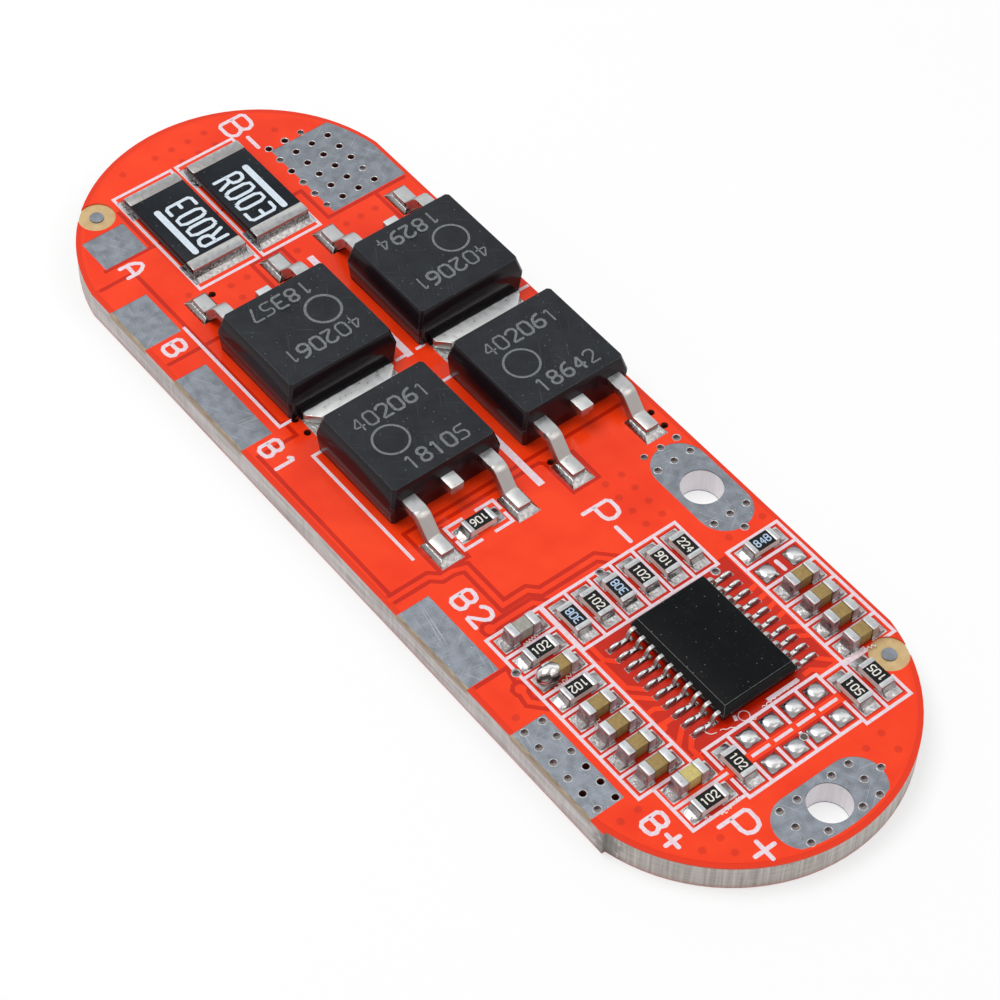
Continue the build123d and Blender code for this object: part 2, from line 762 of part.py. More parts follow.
def cut_corners(length, width, corner):
    """Flat rectangle with its four corners cut off."""
    blank = Rectangle(length, width)
    return chamfer(blank.vertices(), corner)


def transistor_body_blank():
    """Moulded block, drafted up and down from its parting line."""
    length, width = transistor_length, transistor_width
    corner = transistor_corner
    inset = 2 * transistor_base_inset
    middle = Pos(0, 0, parting_height) * cut_corners(length, width, corner)
    base = cut_corners(length - inset, width - inset, corner)
    top_length = length - 2 * transistor_top_inset_x
    top_width = width - 2 * transistor_top_inset_y
    top = Pos(0, 0, transistor_height) * cut_corners(top_length, top_width, corner)
    block = loft([base, middle], ruled=True) + loft([middle, top], ruled=True)
    mark = Pos(ejector_offset, 0, transistor_height) * Cylinder(ejector_diameter / 2, 2 * ejector_depth)
    return block - mark


def drain_tab():
    """Drain plate in one piece with the cut-off middle lead."""
    back = -transistor_length / 2 - tab_reach
    half = tab_width / 2
    corner = tab_corner
    outline = Polyline(
        (back, -half + corner),
        (back + corner, -half),
        (paddle_reach, -half),
        (paddle_reach, half),
        (back + corner, half),
        (back, half - corner),
        close=True,
    )
    plate = extrude(make_face(outline), frame_metal)
    top = parting_height + frame_metal / 2
    half_lead = lead_width / 2
    riser = box_between(paddle_reach - frame_metal, -half_lead, 0, paddle_reach, half_lead, top)
    reach = transistor_length / 2 + stub_length
    stub = box_between(paddle_reach, -half_lead, top - frame_metal, reach, half_lead, top)
    return plate + riser + stub


def gull_lead():
    """One formed lead: out of the body, down to the board, and a flat foot."""
    exit_x = transistor_length / 2
    shoulder = exit_x + lead_shoulder
    heel = shoulder + lead_drop
    foot_z = frame_metal / 2
    path = FilletPolyline(
        (lead_root, 0, parting_height),
        (shoulder, 0, parting_height),
        (heel, 0, foot_z),
        (heel + lead_foot, 0, foot_z),
        radius=lead_bend_radius,
    )
    profile = Plane.YZ.offset(lead_root) * Pos(0, parting_height) * Rectangle(lead_width, frame_metal)
    return sweep(profile, path=path)


def transistor_parts():
    """Body, drain tab and the pair of leads, with the metal let into the body."""
    tab = drain_tab()
    lead = gull_lead()
    leads = [Pos(0, side * lead_pitch / 2, 0) * lead for side in (-1, 1)]
    body = transistor_body_blank() - tab - leads[0] - leads[1]
    return body, tab, leads


def lead_solder():
    """Solder drawn up round one foot, from the whole land."""
    right = lead_tip_reach + lead_land_toe
    middle = right - lead_land_length / 2
    base = Pos(middle, 0) * Rectangle(lead_land_length, lead_land_width)
    rim = 0.06
    foot_left = lead_tip_reach - lead_foot
    top = Pos((foot_left + lead_tip_reach) / 2, 0, lead_solder_height)
    top = top * Rectangle(lead_foot + 2 * rim, lead_width + 2 * rim)
    mound = loft([base, top], ruled=True)
    return mound - gull_lead()


# Sense resistors


def sense_strap_profile():
    """Metal end wrapped round the body, for one end at the right."""
    end = sense_length / 2
    outer = box_between(end - sense_strap, -sense_width / 2, 0, end, sense_width / 2, sense_height)
    metal = sense_strap_metal
    inner_end = end - metal
    inner = box_between(0, -sense_width, metal, inner_end, sense_width, sense_height - metal)
    return outer - inner


def sense_body():
    """Moulded body between the straps, a little higher than they are inside."""
    metal = sense_strap_metal
    end = sense_length / 2
    half = sense_width / 2
    core = box_between(-end + metal, -half, metal, end - metal, half, sense_height - metal)
    cover_end = end - sense_strap
    cover = box_between(-cover_end, -half, sense_height - metal, cover_end, half, sense_height)
    return core + cover


def hollow_fillet(start, end, height, width):
    """Solder that climbs in a hollow slope from a land's outer edge to a part's end face."""
    reach = end - start
    waist = (start + fillet_hollow * reach, fillet_hollow * height)
    outline = Polyline((end, 0), waist, (start, height), (start, 0), close=True)
    return extrude(Plane.XZ * make_face(outline), width / 2, both=True)


# Control chip


def chip_body_blank():
    """Moulded block of the control chip, drafted from its parting line."""
    middle_z = (chip_standoff + chip_height) / 2
    base = Pos(0, 0, chip_standoff) * Rectangle(chip_length - 2 * chip_base_inset, chip_width - 2 * chip_base_inset)
    middle = Pos(0, 0, middle_z) * Rectangle(chip_length, chip_width)
    top = Pos(0, 0, chip_height) * Rectangle(chip_length - 2 * chip_top_inset, chip_width - 2 * chip_top_inset)
    return loft([base, middle], ruled=True) + loft([middle, top], ruled=True)


def chip_leg():
    """One gull-wing leg on the far side of the control chip."""
    middle_z = (chip_standoff + chip_height) / 2
    root = chip_width / 2 - chip_leg_root
    tip = chip_leg_span / 2
    heel = tip - chip_leg_foot
    knee = heel - 0.2
    foot_z = chip_leg_metal / 2
    bend = chip_leg_bend
    fall = Vector(0, heel - knee, foot_z - middle_z).normalized() * bend
    points = [(0, root, middle_z), (0, knee - bend, middle_z), Vector(0, knee, middle_z) + fall]
    points += [Vector(0, heel, foot_z) - fall, (0, heel + bend, foot_z), (0, tip, foot_z)]
    path = Polyline(*points)
    profile = Plane.XZ.offset(-root) * Pos(0, middle_z) * Rectangle(chip_leg_width, chip_leg_metal)
    return sweep(profile, path=path, transition=Transition.RIGHT)


def control_chip_parts():
    """Body, twenty legs and the toe solder of each leg, at the board."""
    leg = chip_leg()
    toe = Rot(0, 0, 90) * hollow_fillet(chip_leg_span / 2, leg_land_reach, chip_leg_metal, chip_leg_width)
    legs = []
    toes = []
    for x in leg_positions():
        for turn in (0, 180):
            legs.append(Rot(0, 0, turn) * Pos(x, 0, 0) * leg)
            toes.append(Rot(0, 0, turn) * Pos(x, 0, 0) * toe)
    body = chip_body_blank()
    for piece in legs:
        body -= piece
    place = Pos(chip_x, chip_y, land_top)
    return place * body, [place * piece for piece in legs], [place * piece for piece in toes]


# Small chip parts


def end_strap(height, strap, wrapped):
    """Metal end of a small part at its right end, on three faces or on five."""
    end = small_length / 2
    half = small_width / 2
    outer = box_between(end - strap, -half, 0, end, half, height)
    side = half - cap_metal if wrapped else small_width
    inner = box_between(0, -side, cap_metal, end - cap_metal, side, height - cap_metal)
    return outer - inner


def both_ends(piece):
    return [piece, Rot(0, 0, 180) * piece]


def resistor_ceramic():
    end = small_length / 2 - cap_metal
    half = small_width / 2
    return box_between(-end, -half, cap_metal, end, half, resistor_height - cap_metal)


def resistor_coat():
    end = small_length / 2 - resistor_strap
    low = resistor_height - cap_metal
    half = small_width / 2
    return box_between(-end, -half, low, end, half, low + coat_thickness)


def capacitor_body():
    end = small_length / 2 - cap_metal
    half = small_width / 2 - cap_metal
    return box_between(-end, -half, cap_metal, end, half, capacitor_height - cap_metal)


def small_fillets(height):
    """The solder at both ends of one small part."""
    start, end = small_length / 2, small_land_span / 2
    return both_ends(hollow_fillet(start, end, height * fillet_climb, small_width))


def solder_dome():
    """Pillow of solder on one bare land."""
    return extrude(Rectangle(small_land_length, small_land_width), dome_height, taper=dome_taper)


def small_parts():
    """All small parts, sorted by material."""
    lift = Pos(0, 0, land_top)
    groups = {}

    def lay(name, pieces, along_x, along_y):
        laid = []
        for piece in pieces:
            laid += place_along_x(lift * piece, along_x) + place_along_y(lift * piece, along_y)
        groups.setdefault(name, []).extend(laid)

    flat, upright = resistors_along_x, resistors_along_y
    lay("resistor_ceramics", [resistor_ceramic()], flat, upright)
    lay("resistor_coats", [resistor_coat()], flat, upright)
    lay("resistor_end_straps", both_ends(end_strap(resistor_height, resistor_strap, False)), flat, upright)
    lay("resistor_solder", small_fillets(resistor_height), flat, upright)
    lay("capacitor_bodies", [capacitor_body()], [], capacitors_along_y)
    caps = both_ends(end_strap(capacitor_height, capacitor_cap, True))
    lay("capacitor_end_caps", caps, [], capacitors_along_y)
    lay("capacitor_solder", small_fillets(capacitor_height), [], capacitors_along_y)
    reach = small_land_span / 2 - small_land_length / 2
    domes = [Pos(side * reach, 0, 0) * solder_dome() for side in (-1, 1)]
    lay("bare_land_solder", domes, empty_along_x, empty_along_y)
    return groups


def write(name, shape):
    export_step(shape, f"parts/{name}.step")


def build():
    os.makedirs("parts", exist_ok=True)
    outline = board_outline()
    pads = merged(pad_outlines.values())
    eyes = merged(eye_outlines.values())
    small = (all_small_lands() + leg_lands() + ring_lands()) - pads
    lead_lands = transistor_lands()
    resistor_lands = sense_lands()
    dots = merged(round_spots(fiducial_places, fiducial_dot))
    lands = pads + eyes + small + lead_lands + resistor_lands
    foil = foil_outline(lands)

    write("circuit_board", laminate(outline))
    write("copper_foil", separate([slab(foil, laminate_thickness, foil_top)]))
    write("solder_mask", separate([solder_mask(outline, foil, lands)]))
    write("printed_frames", separate([printed_ink(lands)]))
    for name, sketch in pad_outlines.items():
        write(name, slab(sketch - via_sketch, laminate_thickness, land_top))
    for name in eye_outlines:
        write(name, terminal_eye(name))
    write("fiducial_dots", separate([slab(dots, laminate_thickness, land_top)]))
    write("small_lands", separate([slab(small - via_sketch, laminate_thickness, land_top)]))
    write("transistor_lands", separate([slab(lead_lands - via_sketch, laminate_thickness, land_top)]))
    write("sense_lands", separate([slab(resistor_lands, laminate_thickness, land_top)]))

    body, tab, leads = transistor_parts()
    solder = []
    for number, (x, y, turn) in enumerate(transistor_places(), start=1):
        place = Pos(x, y, land_top) * Rot(0, 0, turn)
        write(f"transistor_{number}_body", place * body)
        write(f"transistor_{number}_drain_tab", place * tab)
        write(f"transistor_{number}_leads", separate([place * lead for lead in leads]))
        for side in (-1, 1):
            solder.append(place * Pos(0, side * lead_pitch / 2, 0) * lead_solder())
    write("transistor_solder", separate(solder))

    strap = sense_strap_profile()
    toe_end = sense_length / 2 + sense_land_toe
    toe = hollow_fillet(sense_length / 2, toe_end, sense_height * fillet_climb, sense_width)
    sense_solder = []
    for number, y in enumerate((near_sense_y, far_sense_y), start=1):
        place = Pos(sense_x, y, land_top)
        write(f"sense_resistor_{number}_body", place * sense_body())
        write(f"sense_resistor_{number}_straps", separate([place * piece for piece in both_ends(strap)]))
        sense_solder += [place * piece for piece in both_ends(toe)]
    write("sense_resistor_solder", separate(sense_solder))

    chip, legs, toes = control_chip_parts()
    write("control_chip_body", chip)
    write("control_chip_legs", separate(legs))
    write("control_chip_solder", separate(toes))
    for name, pieces in small_parts().items():
        write(name, separate(pieces))


build()
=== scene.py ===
import json
from math import cos, pi, radians, sin

import bpy
from mathutils import Matrix, Vector
from mathutils.geometry import intersect_point_line

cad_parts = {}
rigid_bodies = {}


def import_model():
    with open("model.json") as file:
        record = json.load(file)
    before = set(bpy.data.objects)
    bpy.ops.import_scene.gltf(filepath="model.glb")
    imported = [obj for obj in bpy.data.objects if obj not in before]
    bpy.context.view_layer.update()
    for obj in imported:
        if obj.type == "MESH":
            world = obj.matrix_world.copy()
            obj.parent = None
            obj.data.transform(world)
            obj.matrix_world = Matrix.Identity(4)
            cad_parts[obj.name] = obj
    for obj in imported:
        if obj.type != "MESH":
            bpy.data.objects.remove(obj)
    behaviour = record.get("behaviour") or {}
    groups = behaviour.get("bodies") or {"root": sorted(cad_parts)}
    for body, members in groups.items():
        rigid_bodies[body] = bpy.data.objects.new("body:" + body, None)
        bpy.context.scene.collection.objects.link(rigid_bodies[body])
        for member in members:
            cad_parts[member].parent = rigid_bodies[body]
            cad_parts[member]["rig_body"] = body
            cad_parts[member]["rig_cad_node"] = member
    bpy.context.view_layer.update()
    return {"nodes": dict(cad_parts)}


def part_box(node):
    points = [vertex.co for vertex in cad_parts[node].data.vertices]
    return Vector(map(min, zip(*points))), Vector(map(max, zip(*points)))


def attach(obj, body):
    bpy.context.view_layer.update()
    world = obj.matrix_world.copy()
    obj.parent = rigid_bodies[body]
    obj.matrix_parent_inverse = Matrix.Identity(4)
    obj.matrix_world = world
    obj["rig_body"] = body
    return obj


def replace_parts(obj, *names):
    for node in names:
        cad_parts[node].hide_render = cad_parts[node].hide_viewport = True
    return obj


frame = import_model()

# The board: a glass and resin laminate, drilled, with its long sides sawn and its ends routed.
# The router leaves fine upright ridges, the underside has the same red lacquer as the top,
# and the bare resin shows at the edge and in the two clear windows. One corner was broken off.
mm = 0.001
half_length, half_width, laminate_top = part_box("circuit_board")[1]
end_radius = 9.02 * mm
arc_middle = half_length - end_radius
eye_boxes = [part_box(f"terminal_eye_{name}") for name in ("p_minus", "p_plus")]
hole_middles = [(low + high) / 2 for low, high in eye_boxes]
tap_boxes = [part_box(f"terminal_pad_{name}") for name in ("b", "b1", "b2", "b_plus")]
broken_off = Vector((20.6 * mm, -8.7 * mm, 0))
broken_reach = 1.2 * mm
bores_within = 8.6 * mm
eye_bore_reach = 1.3 * mm
face_skin = 0.01 * mm
ridge_pitch = 0.16 * mm


def new_finish(name):
    """A fresh material with its node tree and its main shader."""
    material = bpy.data.materials.new(name)
    material.use_nodes = True
    tree = material.node_tree
    return material, tree, tree.nodes["Principled BSDF"]


def place_of(tree, stretch=(1, 1, 1)):
    """Object coordinates, stretched where a pattern runs one way."""
    spot = tree.nodes.new("ShaderNodeTexCoord")
    mapping = tree.nodes.new("ShaderNodeMapping")
    mapping.inputs["Scale"].default_value = stretch
    tree.links.new(spot.outputs["Object"], mapping.inputs["Vector"])
    return mapping.outputs["Vector"]


def grain(tree, size, stretch=(1, 1, 1), detail=3.0):
    """Fine noise with grains of about one size, from 0 to 1."""
    noise = tree.nodes.new("ShaderNodeTexNoise")
    noise.inputs["Scale"].default_value = 1 / size
    noise.inputs["Detail"].default_value = detail
    tree.links.new(place_of(tree, stretch), noise.inputs["Vector"])
    return noise.outputs["Fac"]


def shades(tree, value, *stops):
    """Colour that changes with a value, from pairs of a place and a colour."""
    ramp = tree.nodes.new("ShaderNodeValToRGB")
    first, last = ramp.color_ramp.elements[0], ramp.color_ramp.elements[1]
    first.position, first.color = stops[0][0], (*stops[0][1], 1)
    last.position, last.color = stops[-1][0], (*stops[-1][1], 1)
    for position, colour in stops[1:-1]:
        extra = ramp.color_ramp.elements.new(position)
        extra.color = (*colour, 1)
    tree.links.new(value, ramp.inputs["Fac"])
    return ramp.outputs["Color"]


def spread(tree, value, low, high, from_low=0.3, from_high=0.7):
    """The same value on another range."""
    stretch = tree.nodes.new("ShaderNodeMapRange")
    stretch.inputs["From Min"].default_value = from_low
    stretch.inputs["From Max"].default_value = from_high
    stretch.inputs["To Min"].default_value = low
    stretch.inputs["To Max"].default_value = high
    tree.links.new(value, stretch.inputs["Value"])
    return stretch.outputs["Result"]


def sum_of(tree, kind, first, second):
    """One step of arithmetic on values or numbers."""
    step = tree.nodes.new("ShaderNodeMath")
    step.operation = kind
    for socket, item in zip(step.inputs, (first, second)):
        if isinstance(item, (int, float)):
            socket.default_value = item
        else:
            tree.links.new(item, socket)
    return step.outputs["Value"]


def blended(tree, share, first, second):
    """First colour where the share is 0 and second where it is 1."""
    mix = tree.nodes.new("ShaderNodeMix")
    mix.data_type = "RGBA"
    tree.links.new(share, mix.inputs["Factor"])
    for socket, item in ((mix.inputs[6], first), (mix.inputs[7], second)):
        if isinstance(item, tuple):
            socket.default_value = (*item, 1)
        else:
            tree.links.new(item, socket)
    return mix.outputs[2]


def roughen(tree, shader, height, depth, strength=0.5):
    """Small relief from a value."""
    bump = tree.nodes.new("ShaderNodeBump")
    bump.inputs["Strength"].default_value = strength
    bump.inputs["Distance"].default_value = depth
    tree.links.new(height, bump.inputs["Height"])
    tree.links.new(bump.outputs["Normal"], shader.inputs["Normal"])


def split_place(tree):
    """Object coordinates one by one."""
    spot = tree.nodes.new("ShaderNodeTexCoord")
    split = tree.nodes.new("ShaderNodeSeparateXYZ")
    tree.links.new(spot.outputs["Object"], split.inputs["Vector"])
    return split.outputs["X"], split.outputs["Y"], split.outputs["Z"]


def level_reach(tree, x, y):
    """Length of a level step from its two parts."""
    squares = [sum_of(tree, "MULTIPLY", part, part) for part in (x, y)]
    return sum_of(tree, "SQRT", sum_of(tree, "ADD", *squares), 0.0)


def reach_from(tree, x, y, middle):
    """Level distance from an upright axis."""
    across = sum_of(tree, "SUBTRACT", x, middle.x)
    along = sum_of(tree, "SUBTRACT", y, middle.y)
    return level_reach(tree, across, along)


def rim_reach(tree, x, y):
    """Distance from the middle line between the two end arcs."""
    past = sum_of(tree, "SUBTRACT", sum_of(tree, "ABSOLUTE", x, 0.0), arc_middle)
    return level_reach(tree, sum_of(tree, "MAXIMUM", past, 0.0), y)


def beside_taps(tree, x):
    """1 along the edge beside the cell taps and 0 elsewhere."""
    beside_pads = 0.0
    for low, high in tap_boxes:
        off = sum_of(tree, "SUBTRACT", x, (low.x + high.x) / 2)
        off = sum_of(tree, "ABSOLUTE", off, 0.0)
        reach = (high.x - low.x) / 2
        beside = spread(tree, off, 1.0, 0.0, reach - 0.05 * mm, reach + 0.15 * mm)
        beside_pads = sum_of(tree, "MAXIMUM", beside, beside_pads)
    return beside_pads


def edge_colour(tree, x, y, z, ridges):
    """Routed ridges with dust, sawn streaks, brown beside the taps, red below, dark where broken."""
    layers = grain(tree, ridge_pitch, (0.1, 0.1, 1), 2.0)
    routed = shades(tree, ridges, (0.3, (0.28, 0.25, 0.23)), (0.5, (0.46, 0.42, 0.39)),
                    (0.72, (0.66, 0.62, 0.59)))
    dust = shades(tree, layers, (0.35, (0.36, 0.31, 0.28)), (0.7, (0.60, 0.56, 0.52)))
    edge = blended(tree, spread(tree, layers, 0.15, 0.55), routed, dust)

    width_reach = sum_of(tree, "ABSOLUTE", y, 0.0)
    sawn = spread(tree, width_reach, 0.0, 0.6, half_width - 0.06 * mm, half_width - 0.03 * mm)
    streaks = grain(tree, 0.3 * mm, (0.12, 0.12, 1), 4.0)
    cut = shades(tree, streaks, (0.36, (0.40, 0.355, 0.355)), (0.64, (0.68, 0.64, 0.65)))
    edge = blended(tree, sawn, edge, cut)

    height = sum_of(tree, "ADD", z, sum_of(tree, "MULTIPLY", streaks, 0.4 * mm))
    band = spread(tree, height, 0.0, 0.8, laminate_top - 0.16 * mm, laminate_top + 0.02 * mm)
    band = sum_of(tree, "MULTIPLY", band, sum_of(tree, "LESS_THAN", y, 0.0))
    band = sum_of(tree, "MULTIPLY", band, beside_taps(tree, x))
    edge = blended(tree, band, edge, (0.33, 0.215, 0.135))
    low_rim = spread(tree, z, 0.6, 0.0, 0.02 * mm, 0.3 * mm)
    edge = blended(tree, low_rim, edge, (0.50, 0.22, 0.19))

    broken = reach_from(tree, x, y, broken_off)
    crumbs = sum_of(tree, "MULTIPLY", grain(tree, 0.35 * mm, detail=5.0), 1.6 * mm)
    broken = sum_of(tree, "ADD", broken, crumbs)
    broken = spread(tree, broken, 0.6, 0.0, broken_reach, broken_reach + 0.4 * mm)
    return blended(tree, broken, edge, (0.085, 0.080, 0.070))


def bore_colour(tree, x, y, ridges):
    """Painted dark red shade in the via bores, and the plated walls of the two terminal holes painted pale as
    their reflection.
    """
    # Painted shade: the via bores are coloured dark red for their depth.
    bore = shades(tree, grain(tree, 0.2 * mm), (0.3, (0.09, 0.016, 0.012)),
                  (0.7, (0.19, 0.036, 0.028)))
    for middle in hole_middles:
        near = sum_of(tree, "LESS_THAN", reach_from(tree, x, y, middle), eye_bore_reach)
        # The plated walls of the terminal holes are painted pale, as their reflection.
        wall = shades(tree, ridges, (0.3, (0.88, 0.84, 0.87)), (0.7, (0.95, 0.92, 0.94)))
        bore = blended(tree, near, bore, wall)
    return bore


def board_finish():
    """Bare laminate at the edge and in the windows, lacquer underneath, painted shade in the via bores and
    plated walls painted pale as a reflection in the terminal holes.
    """
    material, tree, shader = new_finish("laminate")
    x, y, z = split_place(tree)
    ridges = grain(tree, ridge_pitch, (1, 1, 0.04), 2.0)
    resin = shades(tree, grain(tree, 0.4 * mm), (0.3, (0.50, 0.34, 0.15)),
                   (0.7, (0.60, 0.43, 0.21)))
    lacquer = shades(tree, grain(tree, 3 * mm), (0.3, (0.74, 0.035, 0.008)),
                     (0.7, (0.84, 0.045, 0.010)))
    inside = sum_of(tree, "LESS_THAN", rim_reach(tree, x, y), bores_within)
    above = sum_of(tree, "GREATER_THAN", z, laminate_top - face_skin)
    under = sum_of(tree, "LESS_THAN", z, face_skin)
    edge = edge_colour(tree, x, y, z, ridges)
    colour = blended(tree, inside, edge, bore_colour(tree, x, y, ridges))
    colour = blended(tree, above, colour, resin)
    colour = blended(tree, under, colour, lacquer)
    tree.links.new(colour, shader.inputs["Base Color"])
    shader.inputs["Roughness"].default_value = 0.55
    roughen(tree, shader, ridges, 0.02 * mm, 0.6)
    return material


def give(node, material):
    """Puts one finish on a piece that came from the frame."""
    mesh = frame["nodes"][node].data
    mesh.materials.clear()
    mesh.materials.append(material)


give("circuit_board", board_finish())


# The poured copper is etched foil under the lacquer, so none of it shows bare. Where it lies,
# the lacquer stands a hair higher and looks brighter; between the pours it looks darker.
copper_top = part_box("copper_foil")[1].z
lacquer_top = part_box("solder_mask")[1].z
film_level = lacquer_top + 0.012 * mm
# Where the lacquer's painted highlight along the board's rim begins and is full.
rim_start, rim_full = 8.5 * mm, 8.65 * mm


def copper_finish():
    """Satin copper, a little uneven in tone."""
    material, tree, shader = new_finish("copper")
    patches = grain(tree, 0.3 * mm)
    colour = shades(tree, patches, (0.3, (0.55, 0.24, 0.13)), (0.7, (0.72, 0.36, 0.22)))
    tree.links.new(colour, shader.inputs["Base Color"])
    shader.inputs["Metallic"].default_value = 1.0
    shader.inputs["Roughness"].default_value = 0.4
    return material


def lacquer_finish(name, deep, bright, rim, rough):
    """Glossy red lacquer, a little uneven in tone and surface, with a painted highlight along the board's
    rim.
    """
    material, tree, shader = new_finish(name)
    clouds = grain(tree, 2.5 * mm, detail=4.0)
    colour = shades(tree, clouds, (0.35, deep), (0.65, bright))
    x, y = split_place(tree)[:2]
    # Painted highlight: a lighter band of lacquer along the board's rim.
    outer = spread(tree, rim_reach(tree, x, y), 0.0, 1.0, rim_start, rim_full)
    colour = blended(tree, outer, colour, rim)
    tree.links.new(colour, shader.inputs["Base Color"])
    shader.inputs["Roughness"].default_value = rough
    shader.inputs["Specular IOR Level"].default_value = 0.25
    roughen(tree, shader, grain(tree, 0.6 * mm, detail=2.0), 0.006 * mm, 0.25)
    return material


def only(piece):
    """Selects one piece and nothing else."""
    bpy.ops.object.select_all(action="DESELECT")
    piece.select_set(True)
    bpy.context.view_layer.objects.active = piece


def copy_of(node, name):
    """A merged copy of a piece from the frame, with its own mesh and no parent."""
    only(frame["nodes"][node])
    bpy.ops.object.duplicate()
    piece = bpy.context.active_object
    piece.name = name
    piece.data = piece.data.copy()
    piece.parent = None
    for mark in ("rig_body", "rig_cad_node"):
        if mark in piece:
            del piece[mark]
    bpy.ops.object.mode_set(mode="EDIT")
    bpy.ops.mesh.select_all(action="SELECT")
    bpy.ops.mesh.remove_doubles(threshold=0.0005 * mm)
    bpy.ops.object.mode_set(mode="OBJECT")
    return piece


def dress(piece, material):
    """Gives a new piece its finish, its slot in the record and its place on the board."""
    piece.data.materials.clear()
    piece.data.materials.append(material)
    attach(piece, "root")


give("copper_foil", copper_finish())
rim_highlight_red = (0.74, 0.034, 0.006)
base_red = lacquer_finish("lacquer_on_laminate", (0.50, 0.013, 0.002), (0.58, 0.018, 0.003), rim_highlight_red, 0.18)
give("solder_mask", base_red)
raised_film = copy_of("copper_foil", "lacquer_over_copper")
bpy.ops.object.mode_set(mode="EDIT")
bpy.ops.mesh.select_all(action="SELECT")
bpy.ops.transform.translate(value=(0, 0, film_level - copper_top))
bpy.ops.object.mode_set(mode="OBJECT")
film_rim_highlight_red = (0.86, 0.042, 0.006)
film_red = lacquer_finish(
    "lacquer_over_copper", (0.82, 0.034, 0.004), (0.90, 0.050, 0.008), film_rim_highlight_red, 0.16)
dress(raised_film, film_red)


# Frames and lines are screen-printed in white ink over the lacquer, thin enough for a little of
# the red to come through, with slightly soft edges.
def ink_finish():
    """White ink with a fine grain, a little pink where it is thin."""
    material, tree, shader = new_finish("white_ink")
    cover = grain(tree, 0.12 * mm)
    colour = shades(tree, cover, (0.25, (0.68, 0.50, 0.55)), (0.6, (0.78, 0.65, 0.71)))
    tree.links.new(colour, shader.inputs["Base Color"])
    shader.inputs["Roughness"].default_value = 0.45
    roughen(tree, shader, grain(tree, 0.08 * mm), 0.004 * mm, 0.5)
    return material


ink = ink_finish()
ink_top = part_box("printed_frames")[1].z
give("printed_frames", ink)


# Terminal marks are in the same ink, drawn with a round pen: the cell taps A, B, B1, B2 and B+,
# the pack's B- and the load's P- and P+.
mark_stroke = 0.22 * mm
mark_pitch = 1.2 * mm
ink_rise = 0.004 * mm
# Steps past a free end, in pen widths, each with the share of the pen's size there.
pen_tip = ((0.45, 0.45), (0.28, 0.85), (0.0, 1.0))
# Strokes of each sign in a box that is one wide and one high.
letter_lines = {
    "A": [[(0, 0), (0, 0.6), (0.5, 1), (1, 0.6), (1, 0)], [(0, 0.34), (1, 0.34)]],
    "B": [[(0, 0.2), (0, 1), (0.75, 1), (0.95, 0.85), (0.95, 0.65), (0.75, 0.52), (0, 0.52)],
          [(0.75, 0.52), (1, 0.38), (1, 0.15), (0.78, 0), (0, 0), (0, 0.4)]],
    "P": [[(0, 0), (0, 1), (0.78, 1), (1, 0.85), (1, 0.55), (0.78, 0.42), (0, 0.42)]],
    "R": [[(0, 0), (0, 1), (0.78, 1), (1, 0.86), (1, 0.62), (0.78, 0.48), (0, 0.48)], [(0.6, 0.48), (1, 0)]],
    "+": [[(0, 0.5), (1, 0.5)], [(0.5, 0), (0.5, 1)]],
    "-": [[(0, 0.5), (1, 0.5)]],
    "0": [[(0.2, 0), (0, 0.2), (0, 0.8), (0.2, 1), (0.8, 1), (1, 0.8), (1, 0.2), (0.8, 0), (0.2, 0)]],
    "1": [[(0.2, 0.8), (0.5, 1), (0.5, 0)]],
    "2": [[(0, 0.82), (0.2, 1), (0.8, 1), (1, 0.82), (1, 0.6), (0, 0), (1, 0)]],
    "3": [[(0.05, 1), (1, 1), (1, 0), (0, 0)], [(0.35, 0.52), (1, 0.52)]],
    "4": [[(0.75, 0), (0.75, 1), (0, 0.3), (1, 0.3)]],
    "5": [[(1, 1), (0.1, 1), (0, 0.55), (0.75, 0.6), (1, 0.42), (1, 0.18), (0.8, 0), (0, 0.05)]],
    "6": [[(0.9, 1), (0.3, 0.9), (0, 0.45), (0, 0.18), (0.2, 0), (0.8, 0), (1, 0.2), (1, 0.4), (0.8, 0.56),
           (0.1, 0.5)]],
    "7": [[(0, 1), (1, 1), (0.4, 0)]],
    "8": [[(0.25, 0.52), (0.05, 0.68), (0.05, 0.85), (0.25, 1), (0.75, 1), (0.95, 0.85), (0.95, 0.68),
           (0.75, 0.52), (0.25, 0.52), (0, 0.35), (0, 0.17), (0.2, 0), (0.8, 0), (1, 0.17), (1, 0.35),
           (0.75, 0.52)]],
    "9": [[(0.1, 0), (0.7, 0.1), (1, 0.55), (1, 0.82), (0.8, 1), (0.2, 1), (0, 0.8), (0, 0.6), (0.2, 0.44),
           (0.9, 0.5)]],
}


def meets(spot, others, width):
    """Whether a place lies on any other line."""
    for line in others:
        for start, end in zip(line, line[1:]):
            nearest, share = intersect_point_line(spot, Vector(start), Vector(end))
            if -0.1 < share < 1.1 and (nearest.xy - spot).length < 0.4 * width:
                return True
    return False


def pen_path(line, width, others):
    """Points and pen sizes of one line, with soft corners and, where it ends freely, round tips."""
    spots = [Vector(spot) for spot in line]
    if (spots[0] - spots[-1]).length < width:
        return [(spot, 1.0) for spot in spots]
    path = []
    for before, corner, after in zip(spots, spots[1:], spots[2:]):
        for other in (before, after):
            step = other - corner
            path.append((corner + step * min(0.7 * width / step.length, 0.45), 1.0))
    tips = []
    for end, next_spot in ((spots[0], spots[1]), (spots[-1], spots[-2])):
        outward = (end - next_spot).normalized() * width
        round_end = [(end + past * outward, size) for past, size in pen_tip]
        tips.append(round_end[-1:] if meets(end, others, width) else round_end)
    return tips[0] + path + tips[1][::-1]


